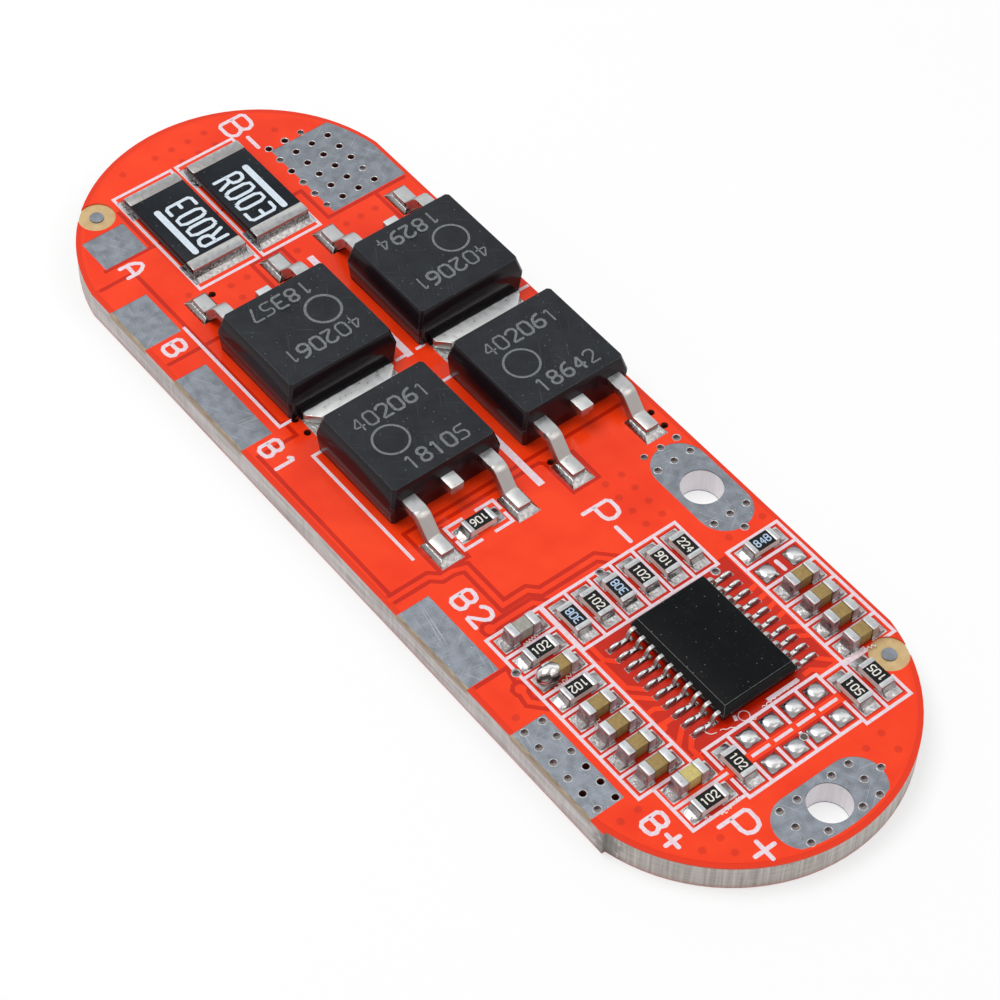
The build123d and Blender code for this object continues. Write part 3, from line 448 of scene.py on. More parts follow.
def pen_lines(name, lines, width, thickness):
    """Flat raised lines drawn with a round pen, as a mesh lying on z = 0."""
    curve = bpy.data.curves.new(name, "CURVE")
    curve.dimensions = "3D"
    curve.bevel_depth = width / 2
    curve.bevel_resolution = 1
    curve.use_fill_caps = True
    for turn, line in enumerate(lines):
        path = pen_path(line, width, lines[:turn] + lines[turn + 1:])
        lift = turn % 5 * 0.12 * width
        spline = curve.splines.new("POLY")
        spline.points.add(len(path) - 1)
        for point, (spot, size) in zip(spline.points, path):
            point.co = (*spot, lift, 1)
            point.radius = size
    piece = bpy.data.objects.new(name, curve)
    bpy.context.scene.collection.objects.link(piece)
    only(piece)
    bpy.ops.object.convert(target="MESH")
    piece = bpy.context.active_object
    piece.data.transform(Matrix.Diagonal((1, 1, 2 * thickness / width, 1)))
    bpy.ops.object.shade_smooth_by_angle(angle=radians(30))
    return piece


def word_lines(text, height, width, pitch):
    """Pen lines of a short word that starts at the origin."""
    lines = []
    for place, sign in enumerate(text):
        for stroke in letter_lines.get(sign, []):
            lines.append([(place * pitch + u * width, v * height) for u, v in stroke])
    return lines


def raised_lines(name, lines, width, thickness, spot, material, turn=0):
    """Raised lines laid at a spot, turned by some degrees, with their finish."""
    piece = pen_lines(name, lines, width, thickness)
    piece.data.transform(Matrix.Translation(spot) @ Matrix.Rotation(radians(turn), 4, "Z"))
    dress(piece, material)


terminal_marks = {
    "mark_b_minus": ("B", (-25.6, 3.0), (1.15, 1.55)),
    "mark_b_minus_dash": ("-", (-24.0, 3.1), (0.95, 1.3)),
    "mark_a": ("A", (-20.14, -6.85), (0.76, 1.2)),
    "mark_b": ("B", (-14.5, -8.2), (0.8, 1.1)),
    "mark_b1": ("B1", (-6.35, -8.2), (0.75, 1.12)),
    "mark_b2": ("B2", (6.4, -6.45), (0.8, 1.15)),
    "mark_p_minus": ("P", (6.25, 1.65), (1.05, 1.55)),
    "mark_p_minus_dash": ("-", (7.8, 1.75), (1.05, 1.3)),
    "mark_p_plus": ("P", (23.3, -4.7), (1.1, 1.6)),
    "mark_p_plus_cross": ("+", (24.85, -4.45), (1.1, 1.1)),
    "mark_b_plus": ("B", (21.05, -7.35), (0.8, 1.15)),
    "mark_b_plus_cross": ("+", (22.2, -7.15), (0.8, 0.8)),
}
for name, (text, (x, y), (width, height)) in terminal_marks.items():
    lines = word_lines(text, height * mm, width * mm, mark_pitch)
    raised_lines(name, lines, mark_stroke, ink_rise, (x * mm, y * mm, film_level), ink)
divider = [(13.9 * mm, 7.02 * mm), (14.5 * mm, 7.05 * mm)]
raised_lines("bare_land_divider", [divider], mark_stroke, ink_rise, (0, 0, film_level), ink)


# Terminal pads, holed terminals and fiducial dots: copper dipped in tin and levelled with hot air,
# so they are grey and smooth, with fine scratches from handling and a few specks of dust.
def facing(tree, toward):
    """How squarely a face looks one way, from 0 for away to 1 for straight at it."""
    spot = tree.nodes.new("ShaderNodeTexCoord")
    dot = tree.nodes.new("ShaderNodeVectorMath")
    dot.operation = "DOT_PRODUCT"
    tree.links.new(spot.outputs["Normal"], dot.inputs[0])
    dot.inputs[1].default_value = Vector(toward).normalized()
    return spread(tree, dot.outputs["Value"], 0.0, 1.0, -1.0, 1.0)


def specks(tree, spacing, size):
    """Sparse small dots: 1 in a dot and 0 elsewhere."""
    cells = tree.nodes.new("ShaderNodeTexVoronoi")
    cells.inputs["Scale"].default_value = 1 / spacing
    tree.links.new(place_of(tree), cells.inputs["Vector"])
    reach = size / spacing
    return spread(tree, cells.outputs["Distance"], 1.0, 0.0, 0.6 * reach, reach)


def scratches(tree, headings=(12, 57, 103, 151)):
    """Fine straight scratches that run a few ways: 1 in a scratch and 0 elsewhere."""
    worst = 0.0
    for heading in headings:
        turned = tree.nodes.new("ShaderNodeMapping")
        turned.inputs["Rotation"].default_value = (0, 0, radians(heading))
        tree.links.new(place_of(tree), turned.inputs["Vector"])
        drawn = tree.nodes.new("ShaderNodeMapping")
        drawn.inputs["Scale"].default_value = (0.025, 1, 1)
        tree.links.new(turned.outputs["Vector"], drawn.inputs["Vector"])
        lines = tree.nodes.new("ShaderNodeTexNoise")
        lines.inputs["Scale"].default_value = 1 / (0.06 * mm)
        lines.inputs["Detail"].default_value = 1.0
        tree.links.new(drawn.outputs["Vector"], lines.inputs["Vector"])
        mark = spread(tree, lines.outputs["Fac"], 0.0, 1.0, 0.68, 0.78)
        worst = sum_of(tree, "MAXIMUM", mark, worst)
    return worst


def tinned_finish(name, dark, light, wear_and_highlight, rough):
    """Levelled tin, cloudy and scratched, with painted glints."""
    material, tree, shader = new_finish(name)
    clouds = grain(tree, 0.5 * mm, detail=6.0)
    colour = shades(tree, clouds, (0.36, dark), (0.64, light))
    lines = scratches(tree)
    # Painted glints: fine light spots blended into the tin, along with real scratches and dust specks.
    glints = spread(tree, grain(tree, 0.05 * mm), 0.0, 0.4, 0.56, 0.72)
    colour = blended(tree, glints, colour, wear_and_highlight)
    colour = blended(tree, sum_of(tree, "MULTIPLY", lines, 0.35), colour, wear_and_highlight)
    colour = blended(tree, specks(tree, 0.45 * mm, 0.03 * mm), colour, wear_and_highlight)
    tree.links.new(colour, shader.inputs["Base Color"])
    tree.links.new(spread(tree, clouds, rough * 0.8, rough * 1.25), shader.inputs["Roughness"])
    shader.inputs["Metallic"].default_value = 1.0
    roughen(tree, shader, lines, 0.004 * mm, 0.5)
    return material


pad_tin = tinned_finish(
    "pad_tin", (0.175, 0.191, 0.216), (0.222, 0.242, 0.274), (0.46, 0.49, 0.53), 0.42)
for node in frame["nodes"]:
    if node.startswith("terminal_") or node == "fiducial_dots":
        give(node, pad_tin)


# Beside the cell taps the lacquer stops short of the sawn edge, and a narrow strip of bare brown
# resin shows between the tin and the edge.
strip_skin = 0.002 * mm


def resin_finish():
    """Brown resin, streaked along the edge."""
    material, tree, shader = new_finish("bare_resin")
    patches = grain(tree, 0.3 * mm, (0.3, 1, 1), 4.0)
    colour = shades(tree, patches, (0.35, (0.20, 0.135, 0.08)), (0.65, (0.40, 0.32, 0.21)))
    tree.links.new(colour, shader.inputs["Base Color"])
    shader.inputs["Roughness"].default_value = 0.5
    return material


def new_piece(name):
    """An empty piece, open for editing."""
    piece = bpy.data.objects.new(name, bpy.data.meshes.new(name))
    bpy.context.scene.collection.objects.link(piece)
    only(piece)
    bpy.ops.object.mode_set(mode="EDIT")
    return piece


def add_box(low, high):
    """A box between two corners, in the piece that is open."""
    bpy.ops.mesh.primitive_cube_add(size=1, location=(low + high) / 2, scale=high - low)


strips = new_piece("bare_edge_strips")
for low, high in tap_boxes:
    add_box(Vector((low.x, -half_width - strip_skin, laminate_top)),
            Vector((high.x, low.y, film_level + strip_skin)))
bpy.ops.object.mode_set(mode="OBJECT")
dress(strips, resin_finish())


# Vias: plated rims, and plugs of dull solder a little below the surface in those that are filled.
# The vias that the lacquer covers show as darker round spots, and one small via stands open, drawn as a dark
# disc of painted shade.
via_pitch = 1.02 * mm
via_radius = 0.2 * mm
covered_radius = 0.19 * mm
open_radius = 0.17 * mm
rim_stroke = 0.06 * mm
plug_depth = 0.006 * mm
plug_dish = 0.055 * mm
widest_ring = 0.6 * mm
land_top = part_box("small_lands")[1].z
# The metals' painted shade and highlights follow how their faces turn toward this far side.
far_side = (-0.78, 0.62, 0.0)


def grid(first, columns, rows, skipped=()):
    """Via places by column and row."""
    cells = [(i, j) for i in range(columns) for j in range(rows) if (i, j) not in skipped]
    return {(i, j): (first[0] + i * via_pitch, first[1] + j * via_pitch) for i, j in cells}


def loose_boxes(piece):
    """Low and high corners of each separate solid of a merged piece."""
    mesh = piece.data
    leaders = list(range(len(mesh.vertices)))

    def leader(index):
        while leaders[index] != index:
            leaders[index] = leaders[leaders[index]]
            index = leaders[index]
        return index

    for edge in mesh.edges:
        leaders[leader(edge.vertices[0])] = leader(edge.vertices[1])
    solids = {}
    for vertex in mesh.vertices:
        solids.setdefault(leader(vertex.index), []).append(vertex.co)
    return [(Vector(map(min, zip(*spots))), Vector(map(max, zip(*spots)))) for spots in solids.values()]


def rods(name, places, radius, low, high, sides=16, dish=0.0):
    """Short upright rods at many places, as one piece, with their tops dished where asked."""
    piece = new_piece(name)
    for x, y in places:
        middle = (x, y, (low + high) / 2)
        bpy.ops.mesh.primitive_cylinder_add(
            vertices=sides, radius=radius, depth=high - low, end_fill_type="TRIFAN", location=middle,
            rotation=(0, 0, pi / sides))
    bpy.ops.object.mode_set(mode="OBJECT")
    if dish:
        hearts = {(round(x / mm, 3), round(y / mm, 3)) for x, y in places}
        for vertex in piece.data.vertices:
            spot = (round(vertex.co.x / mm, 3), round(vertex.co.y / mm, 3))
            if spot in hearts and vertex.co.z > (low + high) / 2:
                vertex.co.z -= dish
    return piece


def solids_of(node):
    """Low and high corners of each separate solid of a piece from the frame."""
    piece = copy_of(node, node + "_measured")
    boxes = loose_boxes(piece)
    bpy.ops.object.delete()
    return boxes


def circle(x, y, radius, steps=16):
    """Points round a circle, back to the first."""
    turns = [2 * pi * step / steps for step in range(steps + 1)]
    return [(x + radius * cos(turn), y + radius * sin(turn)) for turn in turns]


def metal_finish(name, stops, rough, blotch=0.4 * mm, share=0.1, relief=0.3, depth=0.02 * mm):
    """Metal with painted shade and highlights: its tone follows how its faces turn, standing in for an
    overhead light.
    """
    material, tree, shader = new_finish(name)
    blotches = grain(tree, blotch, detail=4.0)
    uneven = sum_of(tree, "MULTIPLY", sum_of(tree, "SUBTRACT", blotches, 0.5), share)
    # Painted light: the colour ramp follows each face's slope and bakes shade and highlight into the colour.
    tone = sum_of(tree, "ADD", facing(tree, far_side), uneven)
    tree.links.new(shades(tree, tone, *stops), shader.inputs["Base Color"])
    tree.links.new(spread(tree, blotches, rough * 0.7, rough * 1.3), shader.inputs["Roughness"])
    shader.inputs["Metallic"].default_value = 1.0
    roughen(tree, shader, blotches, depth, relief)
    return material


def matt_finish(name, dark, light, size, rough):
    """Matt surface of two close shades."""
    material, tree, shader = new_finish(name)
    colour = shades(tree, grain(tree, size), (0.3, dark), (0.7, light))
    tree.links.new(colour, shader.inputs["Base Color"])
    shader.inputs["Roughness"].default_value = rough
    return material


b_minus_low, b_minus_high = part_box("terminal_pad_b_minus")
b_minus_vias = grid((b_minus_high.x - 0.65 * mm - 5 * via_pitch, b_minus_low.y), 6, 4, [(0, 3)])
b_minus_filled = [(0, 2), (1, 0), (3, 0), (4, 0), (5, 0), (4, 3)]
b_plus_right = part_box("terminal_pad_b_plus")[1].x
b_plus_vias = grid((b_plus_right - 0.25 * mm - 5 * via_pitch, -half_width + 0.62 * mm), 6, 2)
b_plus_filled = [(0, 0), (1, 0), (2, 0), (3, 0), (5, 0), (0, 1), (1, 1), (2, 1)]
eye_minus, eye_plus = hole_middles
eye_steps = [(eye_minus, i, j) for i in (-3, -2, 2) for j in (-1, 0, 1)] + [(eye_minus, 3, 0)]
eye_steps += [(eye_plus, i, j) for i in (-1, 1) for j in (-2, -1, 1, 2)]
eye_steps += [(eye_plus, 0, j) for j in (-2, 2, 3)]
plugged = [(middle.x + i * via_pitch, middle.y + j * via_pitch) for middle, i, j in eye_steps]
plugged += [b_minus_vias[cell] for cell in b_minus_filled]
plugged += [b_plus_vias[cell] for cell in b_plus_filled]
ring_boxes = [(low, high) for low, high in solids_of("small_lands") if max(high - low) < widest_ring]
ring_places = [((low.x + high.x) / 2, (low.y + high.y) / 2) for low, high in ring_boxes]
nearest_ring = min(ring_places, key=lambda place: place[1])
lone_ring = (nearest_ring[0] - 2.1 * mm, 0.1 * mm)
plugged += ring_places + [lone_ring]
drilled = [*b_minus_vias.values(), *b_plus_vias.values()]
rimmed = plugged + [place for place in drilled if place not in plugged]

# Painted shade and highlight by slope: the far wall of each dished plug dark, the near wall light.
plug_stops = (
    (0.0, (0.025, 0.018, 0.018)), (0.44, (0.04, 0.03, 0.03)), (0.48, (0.085, 0.07, 0.07)),
    (0.52, (0.16, 0.137, 0.133)), (0.58, (0.25, 0.22, 0.212)), (1.0, (0.34, 0.31, 0.30)))
plug_finish = metal_finish("dull_plug", plug_stops, 0.4, 0.1 * mm, 0.06)
plug_top = land_top - plug_depth
plugs = rods("via_plugs", plugged, via_radius, laminate_top, plug_top, 12, plug_dish)
dress(plugs, plug_finish)
# Painted shade and highlight by slope on the via rims: lighter on faces turned to the near side.
rim_stops = (
    (0.0, (0.52, 0.52, 0.52)), (0.42, (0.44, 0.44, 0.45)), (0.5, (0.31, 0.32, 0.34)),
    (1.0, (0.24, 0.25, 0.27)))
rim_tin = metal_finish("rim_tin", rim_stops, 0.35, share=0.05)
rim_lines = [circle(x, y, via_radius + 0.005 * mm) for x, y in rimmed]
raised_lines("via_rims", rim_lines, rim_stroke, 0.010 * mm, (0, 0, land_top), rim_tin)

covered_runs = [
    ((-25.65, 2.1), (0, -1.03), 4), ((-25.65, -3.0), (0, 0), 1), ((-24.6, 2.1), (0, -1.05), 3),
    ((-23.6, 5.2), (0, 0), 1), ((-15.8, 5.95), (0, -0.92), 3), ((-15.8, 1.0), (0, 0), 1),
    ((-15.85, -2.05), (0, -1.0), 2), ((-14.85, -3.05), (0, 0), 1), ((-16.6, -5.1), (0, 0), 1),
    ((5.5, 4.65), (1.0, 0), 4), ((5.5, 3.65), (1.0, 0), 4), ((11.5, 8.3), (0, -2.1), 2),
    ((24.0, 4.3), (1.1, 0), 2), ((24.2, 3.2), (0, 0), 1), ((23.75, -5.0), (0.95, 0), 2),
    ((23.75, -6.05), (0, 0), 1), ((20.45, -6.9), (0, -1.0), 2), ((13.4, -8.1), (0, 0), 1),
]
covered = [
    (mm * (x + k * dx), mm * (y + k * dy)) for (x, y), (dx, dy), count in covered_runs for k in range(count)]
spots = rods("covered_vias", covered, covered_radius, lacquer_top, film_level + 0.002 * mm)
covered_red = lacquer_finish("lacquer_over_via", (0.62, 0.026, 0.005), (0.72, 0.034, 0.006), rim_highlight_red, 0.3)
dress(spots, covered_red)
open_place = (22.04 * mm, 1.42 * mm)
open_via = rods("open_via", [open_place], open_radius, lacquer_top, ink_top + 0.003 * mm)
# A dark disc of painted shade stands in for the open via's hole.
painted_via_hole_shade = matt_finish("painted_via_hole_shade", (0.035, 0.020, 0.015), (0.10, 0.07, 0.055), 0.1 * mm, 0.5)
dress(open_via, painted_via_hole_shade)
open_ring = circle(*open_place, open_radius + 0.02 * mm)
raised_lines("open_via_rim", [open_ring], rim_stroke, 0.008 * mm, (0, 0, ink_top), rim_tin)


# Solder: bright reflowed tin alloy that climbs the ends of the parts, wets their lands and leaves
# pillows on the lands that hold no part.
# Painted shade and highlights by slope: a bright band on level faces, darker uneven bands on the slopes.
solder_stops = (
    (0.0, (0.30, 0.27, 0.27)), (0.12, (0.20, 0.18, 0.18)), (0.2, (0.34, 0.32, 0.31)),
    (0.33, (0.22, 0.21, 0.21)), (0.41, (0.42, 0.41, 0.41)), (0.47, (0.48, 0.48, 0.48)),
    (0.5, (0.54, 0.54, 0.55)), (0.54, (0.46, 0.47, 0.48)), (0.60, (0.40, 0.41, 0.42)),
    (0.75, (0.34, 0.34, 0.35)), (1.0, (0.40, 0.40, 0.41)))
pillow_rise = 1.45
solder = metal_finish("solder", solder_stops, 0.27, 0.18 * mm, 0.28, 0.8, 0.04 * mm)
for node in ("small_lands", "transistor_lands", "sense_lands"):
    give(node, solder)


def softened(node, name, width, material, segments=2, wear_and_highlight=None):
    """A piece from the frame with its edges rounded, shown in the place of the plain one; a second finish,
    where given, paints a highlight on the rounded edges.
    """
    piece = copy_of(node, name)
    bevel = piece.modifiers.new("Bevel", "BEVEL")
    bevel.width = width
    bevel.segments = segments
    bevel.limit_method = "ANGLE"
    bevel.angle_limit = radians(25)
    dress(piece, material)
    # The second finish goes on the rounded edges, as a painted edge highlight.
    if wear_and_highlight:
        piece.data.materials.append(wear_and_highlight)
        bevel.material = 1
    bpy.ops.object.modifier_apply(modifier=bevel.name)
    bpy.ops.object.shade_smooth_by_angle(angle=radians(35))
    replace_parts(piece, node)
    return piece


def pillows(name, boxes, sink, material):
    """Square-based solder domes that stand in boxes, as one piece."""
    piece = new_piece(name)
    for low, high in boxes:
        add_box(low, high)
    bpy.ops.mesh.select_all(action="DESELECT")
    bpy.ops.object.mode_set(mode="OBJECT")
    middle = sum(low.z + high.z for low, high in boxes) / len(boxes) / 2
    for vertex in piece.data.vertices:
        vertex.select = vertex.co.z < middle
    for edge in piece.data.edges:
        edge.select = all(piece.data.vertices[index].select for index in edge.vertices)
    bpy.ops.object.mode_set(mode="EDIT")
    bpy.ops.transform.edge_crease(value=1)
    bpy.ops.transform.vert_crease(value=sink)
    bpy.ops.object.mode_set(mode="OBJECT")
    smooth = piece.modifiers.new("Smooth", "SUBSURF")
    smooth.levels = 3
    smooth.render_levels = 3
    bpy.ops.object.modifier_apply(modifier=smooth.name)
    bpy.ops.object.shade_smooth()
    dress(piece, material)
    return piece


for node in ("transistor_solder", "sense_resistor_solder", "resistor_solder", "capacitor_solder"):
    softened(node, node + "_reflowed", 0.06 * mm, solder)
bare_boxes = [
    (low, Vector((*high.xy, low.z + pillow_rise * (high.z - low.z))))
    for low, high in solids_of("bare_land_solder")]
# Painted highlight by slope: a bright band near the top of each pillow, darker on its slopes.
pillow_stops = (
    (0.0, (0.26, 0.25, 0.25)), (0.34, (0.34, 0.33, 0.33)), (0.42, (0.46, 0.45, 0.45)),
    (0.465, (0.78, 0.78, 0.79)), (0.50, (0.66, 0.66, 0.68)), (0.54, (0.36, 0.37, 0.39)),
    (0.7, (0.25, 0.26, 0.27)), (1.0, (0.22, 0.22, 0.23)))
pillow_tin = metal_finish("pillow_solder", pillow_stops, 0.24, 0.12 * mm, 0.10, 0.35)
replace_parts(pillows("bare_land_pillows", bare_boxes, 1.0, pillow_tin), "bare_land_solder")


# Power transistors: a black epoxy body moulded round a copper frame, matt and dusty on top and
# polished on its drafted sides. The drain plate, the cut middle lead and the two formed leads
# are tin plated.
transistor_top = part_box("transistor_1_body")[1].z
dust_grey = (0.22, 0.23, 0.23)
scratch_grey = (0.14, 0.15, 0.16)
body_rounding = 0.03 * mm


def epoxy_finish(name, deep, light, side, rough, gloss, top, wear=0.0):
    """Black moulding compound with dust and scratches on its top face, and polished below that, where the
    side colour paints the sides' sheen.
    """
    material, tree, shader = new_finish(name)
    clouds = grain(tree, 0.9 * mm, detail=6.0)
    colour = shades(tree, clouds, (0.3, deep), (0.7, light))
    wear_and_highlight = sum_of(tree, "MULTIPLY", scratches(tree, (31, 128)), wear)
    colour = blended(tree, wear_and_highlight, colour, scratch_grey)
    for spacing, size, strength in ((0.37, 0.032, 0.7), (0.17, 0.018, 0.35)):
        dots = specks(tree, spacing * mm, size * mm)
        dust = sum_of(tree, "MULTIPLY", dots, strength)
        colour = blended(tree, dust, colour, dust_grey)
    height = split_place(tree)[2]
    level = spread(tree, height, 0.0, 1.0, top - 0.08 * mm, top - 0.06 * mm)
    # Below the top face the sides take the side colour, a painted sheen, reddish on the transistors as a
    # reflection of the red lacquer.
    tree.links.new(blended(tree, level, side, colour), shader.inputs["Base Color"])
    tree.links.new(spread(tree, level, 0.2, rough, 0.0, 1.0), shader.inputs["Roughness"])
    shader.inputs["Specular IOR Level"].default_value = gloss
    roughen(tree, shader, grain(tree, 0.04 * mm, detail=3.0), 0.006 * mm, 0.35)
    return material


body_epoxy = epoxy_finish(
    "transistor_epoxy", (0.008, 0.0095, 0.0125), (0.0155, 0.018, 0.022), (0.013, 0.008, 0.010), 0.6, 0.19,
    transistor_top, 0.25)
# A lighter finish for the rounded edges of the bodies: a painted edge highlight.
epoxy_edge_highlight = matt_finish("painted_epoxy_edge_highlight", (0.035, 0.037, 0.040), (0.10, 0.105, 0.11), 0.2 * mm, 0.4)
# Painted shade and highlight by slope on the leads: lighter on level faces, darker on slopes turned to the
# near side.
lead_stops = (
    (0.0, (0.42, 0.40, 0.38)), (0.2, (0.34, 0.31, 0.30)), (0.36, (0.42, 0.41, 0.39)),
    (0.47, (0.43, 0.44, 0.44)), (0.52, (0.48, 0.49, 0.495)), (0.7, (0.45, 0.46, 0.46)),
    (1.0, (0.36, 0.36, 0.36)))
lead_tin = metal_finish("lead_tin", lead_stops, 0.36, 0.3 * mm, 0.07, 0.25)
# Painted highlight by slope on the drain tabs: brighter than the leads on their level faces.
tab_stops = (
    (0.0, (0.42, 0.40, 0.38)), (0.36, (0.42, 0.41, 0.39)), (0.47, (0.56, 0.57, 0.575)),
    (0.52, (0.64, 0.655, 0.66)), (0.7, (0.54, 0.55, 0.55)), (1.0, (0.36, 0.36, 0.36)))
plates_middle = (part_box("transistor_1_drain_tab")[1].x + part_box("transistor_3_drain_tab")[0].x) / 2
# Where the painted reflection of the black body on the drain plates starts, is full and ends.
reflection_start, reflection_full, plate_reach = 0.80 * mm, 0.86 * mm, 1.6 * mm
body_reflection_black = (0.012, 0.012, 0.014)


def tab_finish():
    """Plated drain tabs, with a painted dark reflection of the black body on the plate along the body."""
    material = metal_finish("tab_tin", tab_stops, 0.36, 0.3 * mm, 0.07, 0.25)
    tree = material.node_tree
    shader = tree.nodes["Principled BSDF"]
    tin = shader.inputs["Base Color"].links[0].from_socket
    x = split_place(tree)[0]
    off = sum_of(tree, "ABSOLUTE", sum_of(tree, "SUBTRACT", x, plates_middle), 0.0)
    uneven = sum_of(tree, "MULTIPLY", grain(tree, 0.5 * mm), 0.08 * mm)
    off = sum_of(tree, "ADD", off, uneven)
    body_reflection = spread(tree, off, 0.0, 0.97, reflection_start, reflection_full)
    near = sum_of(tree, "LESS_THAN", off, plate_reach)
    body_reflection = sum_of(tree, "MULTIPLY", body_reflection, near)
    tree.links.new(blended(tree, body_reflection, tin, body_reflection_black), shader.inputs["Base Color"])
    return material


tab_tin = tab_finish()
for number in range(1, 5):
    body = f"transistor_{number}_body"
    softened(body, body + "_moulding", body_rounding, body_epoxy, wear_and_highlight=epoxy_edge_highlight)
    for part, plating in (("drain_tab", tab_tin), ("leads", lead_tin)):
        node = f"transistor_{number}_{part}"
        softened(node, node + "_plated", 0.04 * mm, plating)


# Each body carries two lines of figures and a ring in light grey, marked by a laser that burns
# the skin of the moulding. Two of the bodies face the other way, and so do their marks.
etch_level = transistor_top - 0.0012 * mm
etch_stroke = 0.15 * mm
etch_rise = 0.002 * mm
figure_height = 0.85 * mm
upper_width, upper_pitch, upper_start = 0.55 * mm, 0.76 * mm, (-2.2 * mm, 0.98 * mm)
lower_width, lower_pitch, lower_start = 0.52 * mm, 0.74 * mm, (-1.5 * mm, -2.32 * mm)
etched_ring = circle(-1.2 * mm, -0.25 * mm, 0.9 * mm, 32)
laser_grey = matt_finish("laser_mark", (0.075, 0.08, 0.085), (0.20, 0.21, 0.22), 0.07 * mm, 0.7)
upper_figures = "402061"
lower_figures = ("18357", "18294", "18105", "18642")


def shifted(lines, dx, dy):
    """The same lines a step away."""
    return [[(x + dx, y + dy) for x, y in line] for line in lines]


for number, lower in enumerate(lower_figures, start=1):
    low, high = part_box(f"transistor_{number}_body")
    middle = (low + high) / 2
    lines = shifted(word_lines(upper_figures, figure_height, upper_width, upper_pitch), *upper_start)
    lines += shifted(word_lines(lower, figure_height, lower_width, lower_pitch), *lower_start)
    lines.append(etched_ring)
    raised_lines(
        f"transistor_{number}_marks", lines, etch_stroke, etch_rise, (middle.x, middle.y, etch_level),
        laser_grey, -90 if number < 3 else 90)


# Sense resistors: a strip of resistance metal moulded in black, with tin-plated straps wrapped
# round both ends, and a value bar and figures printed on top in white.
sense_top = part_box("sense_resistor_1_body")[1].z
moulding = epoxy_finish(
    "resistor_moulding", (0.003, 0.005, 0.008), (0.007, 0.010, 0.015), (0.006, 0.005, 0.006), 0.4, 0.12,
    sense_top)
# Painted shade and highlight by slope on the straps: brightest on faces tipped a little toward the far side.
strap_stops = (
    (0.0, (0.40, 0.36, 0.34)), (0.3, (0.28, 0.255, 0.245)), (0.44, (0.29, 0.29, 0.285)),
    (0.5, (0.32, 0.325, 0.33)), (0.55, (0.42, 0.425, 0.43)), (0.62, (0.58, 0.58, 0.57)),
    (0.75, (0.40, 0.40, 0.40)), (1.0, (0.34, 0.34, 0.34)))
strap_tin = metal_finish("strap_tin", strap_stops, 0.36, 0.25 * mm, 0.12, 0.12)
value_white = matt_finish("value_print", (0.53, 0.61, 0.68), (0.66, 0.74, 0.82), 0.1 * mm, 0.5)
value_lines = shifted(word_lines("R003", 1.5 * mm, 0.6 * mm, 0.92 * mm), -1.68 * mm, -1.18 * mm)
bar_line = [(-1.7 * mm, 0.8 * mm), (1.7 * mm, 0.8 * mm)]
print_aside = 0.45 * mm
for number, turn in ((1, 180), (2, 0)):
    node = f"sense_resistor_{number}_body"
    softened(node, node + "_moulding", body_rounding, moulding)
    straps = f"sense_resistor_{number}_straps"
    softened(straps, straps + "_plated", 0.07 * mm, strap_tin, 3)
    low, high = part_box(node)
    middle = (low + high) / 2
    spot = (middle.x + print_aside, middle.y, high.z)
    for kind, lines, stroke in (("figures", value_lines, 0.2 * mm), ("bar", [bar_line], 0.36 * mm)):
        raised_lines(
            f"sense_resistor_{number}_{kind}", lines, stroke, ink_rise, spot, value_white, turn=turn)


# Control chip: a thin moulded body, satin with fine dust, on twenty formed legs, each bedded in a
# long rounded bar of solder.
chip_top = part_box("control_chip_body")[1].z
chip_epoxy = epoxy_finish(
    "chip_epoxy", (0.0025, 0.003, 0.0035), (0.005, 0.0055, 0.006), (0.014, 0.015, 0.016), 0.4, 0.06, chip_top)
softened(
    "control_chip_body", "control_chip_moulding", body_rounding, chip_epoxy, wear_and_highlight=epoxy_edge_highlight)
legs = softened("control_chip_legs", "control_chip_formed_legs", 0.03 * mm, lead_tin)
# Two pillows bed each leg: their reach inward and outward of its toe, what they add to its width
# on either side, and their height above the land, in mm.
foot_shapes = ((0.74, 0.54, 0.055, 0.19), (0.28, 0.52, 0.045, 0.33))
foot_boxes = []
chip_low, chip_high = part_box("control_chip_body")
for low, high in loose_boxes(legs):
    outward = 1 if low.y + high.y > chip_low.y + chip_high.y else -1
    tip = high.y if outward > 0 else low.y
    for inner, outer, wider, rise in foot_shapes:
        near_y, far_y = sorted((tip - outward * inner * mm, tip + outward * outer * mm))
        corner = Vector((low.x - wider * mm, near_y, land_top))
        foot_boxes.append((corner, Vector((high.x + wider * mm, far_y, land_top + rise * mm))))
# Painted highlight by slope: a bright band on the level tops of the solder bars, darker on their slopes.
foot_stops = (
    (0.0, (0.36, 0.34, 0.34)), (0.25, (0.24, 0.23, 0.23)), (0.37, (0.46, 0.45, 0.45)),
    (0.45, (0.70, 0.70, 0.71)), (0.54, (0.76, 0.76, 0.77)), (0.62, (0.46, 0.46, 0.47)),
    (0.75, (0.26, 0.26, 0.27)), (1.0, (0.32, 0.32, 0.33)))
foot_tin = metal_finish("foot_solder", foot_stops, 0.2, 0.12 * mm, 0.3, 0.5)
foot_solder = pillows("control_chip_foot_solder", foot_boxes, 0.5, foot_tin)
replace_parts(foot_solder, "control_chip_solder")


# Small chip resistors: white ceramic with a black glass coat and a printed three-figure value,
# and metal straps at both ends.
white_ceramic = matt_finish("white_ceramic", (0.60, 0.56, 0.52), (0.74, 0.70, 0.66), 0.15 * mm, 0.4)
give("resistor_ceramics", white_ceramic)
coat_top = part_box("resistor_coats")[1].z
black_glass = epoxy_finish(
    "black_glass", (0.006, 0.006, 0.007), (0.012, 0.012, 0.013), (0.010, 0.009, 0.009), 0.35, 0.12, coat_top)
coats = softened("resistor_coats", "resistor_glass_coats", 0.012 * mm, black_glass, 1)
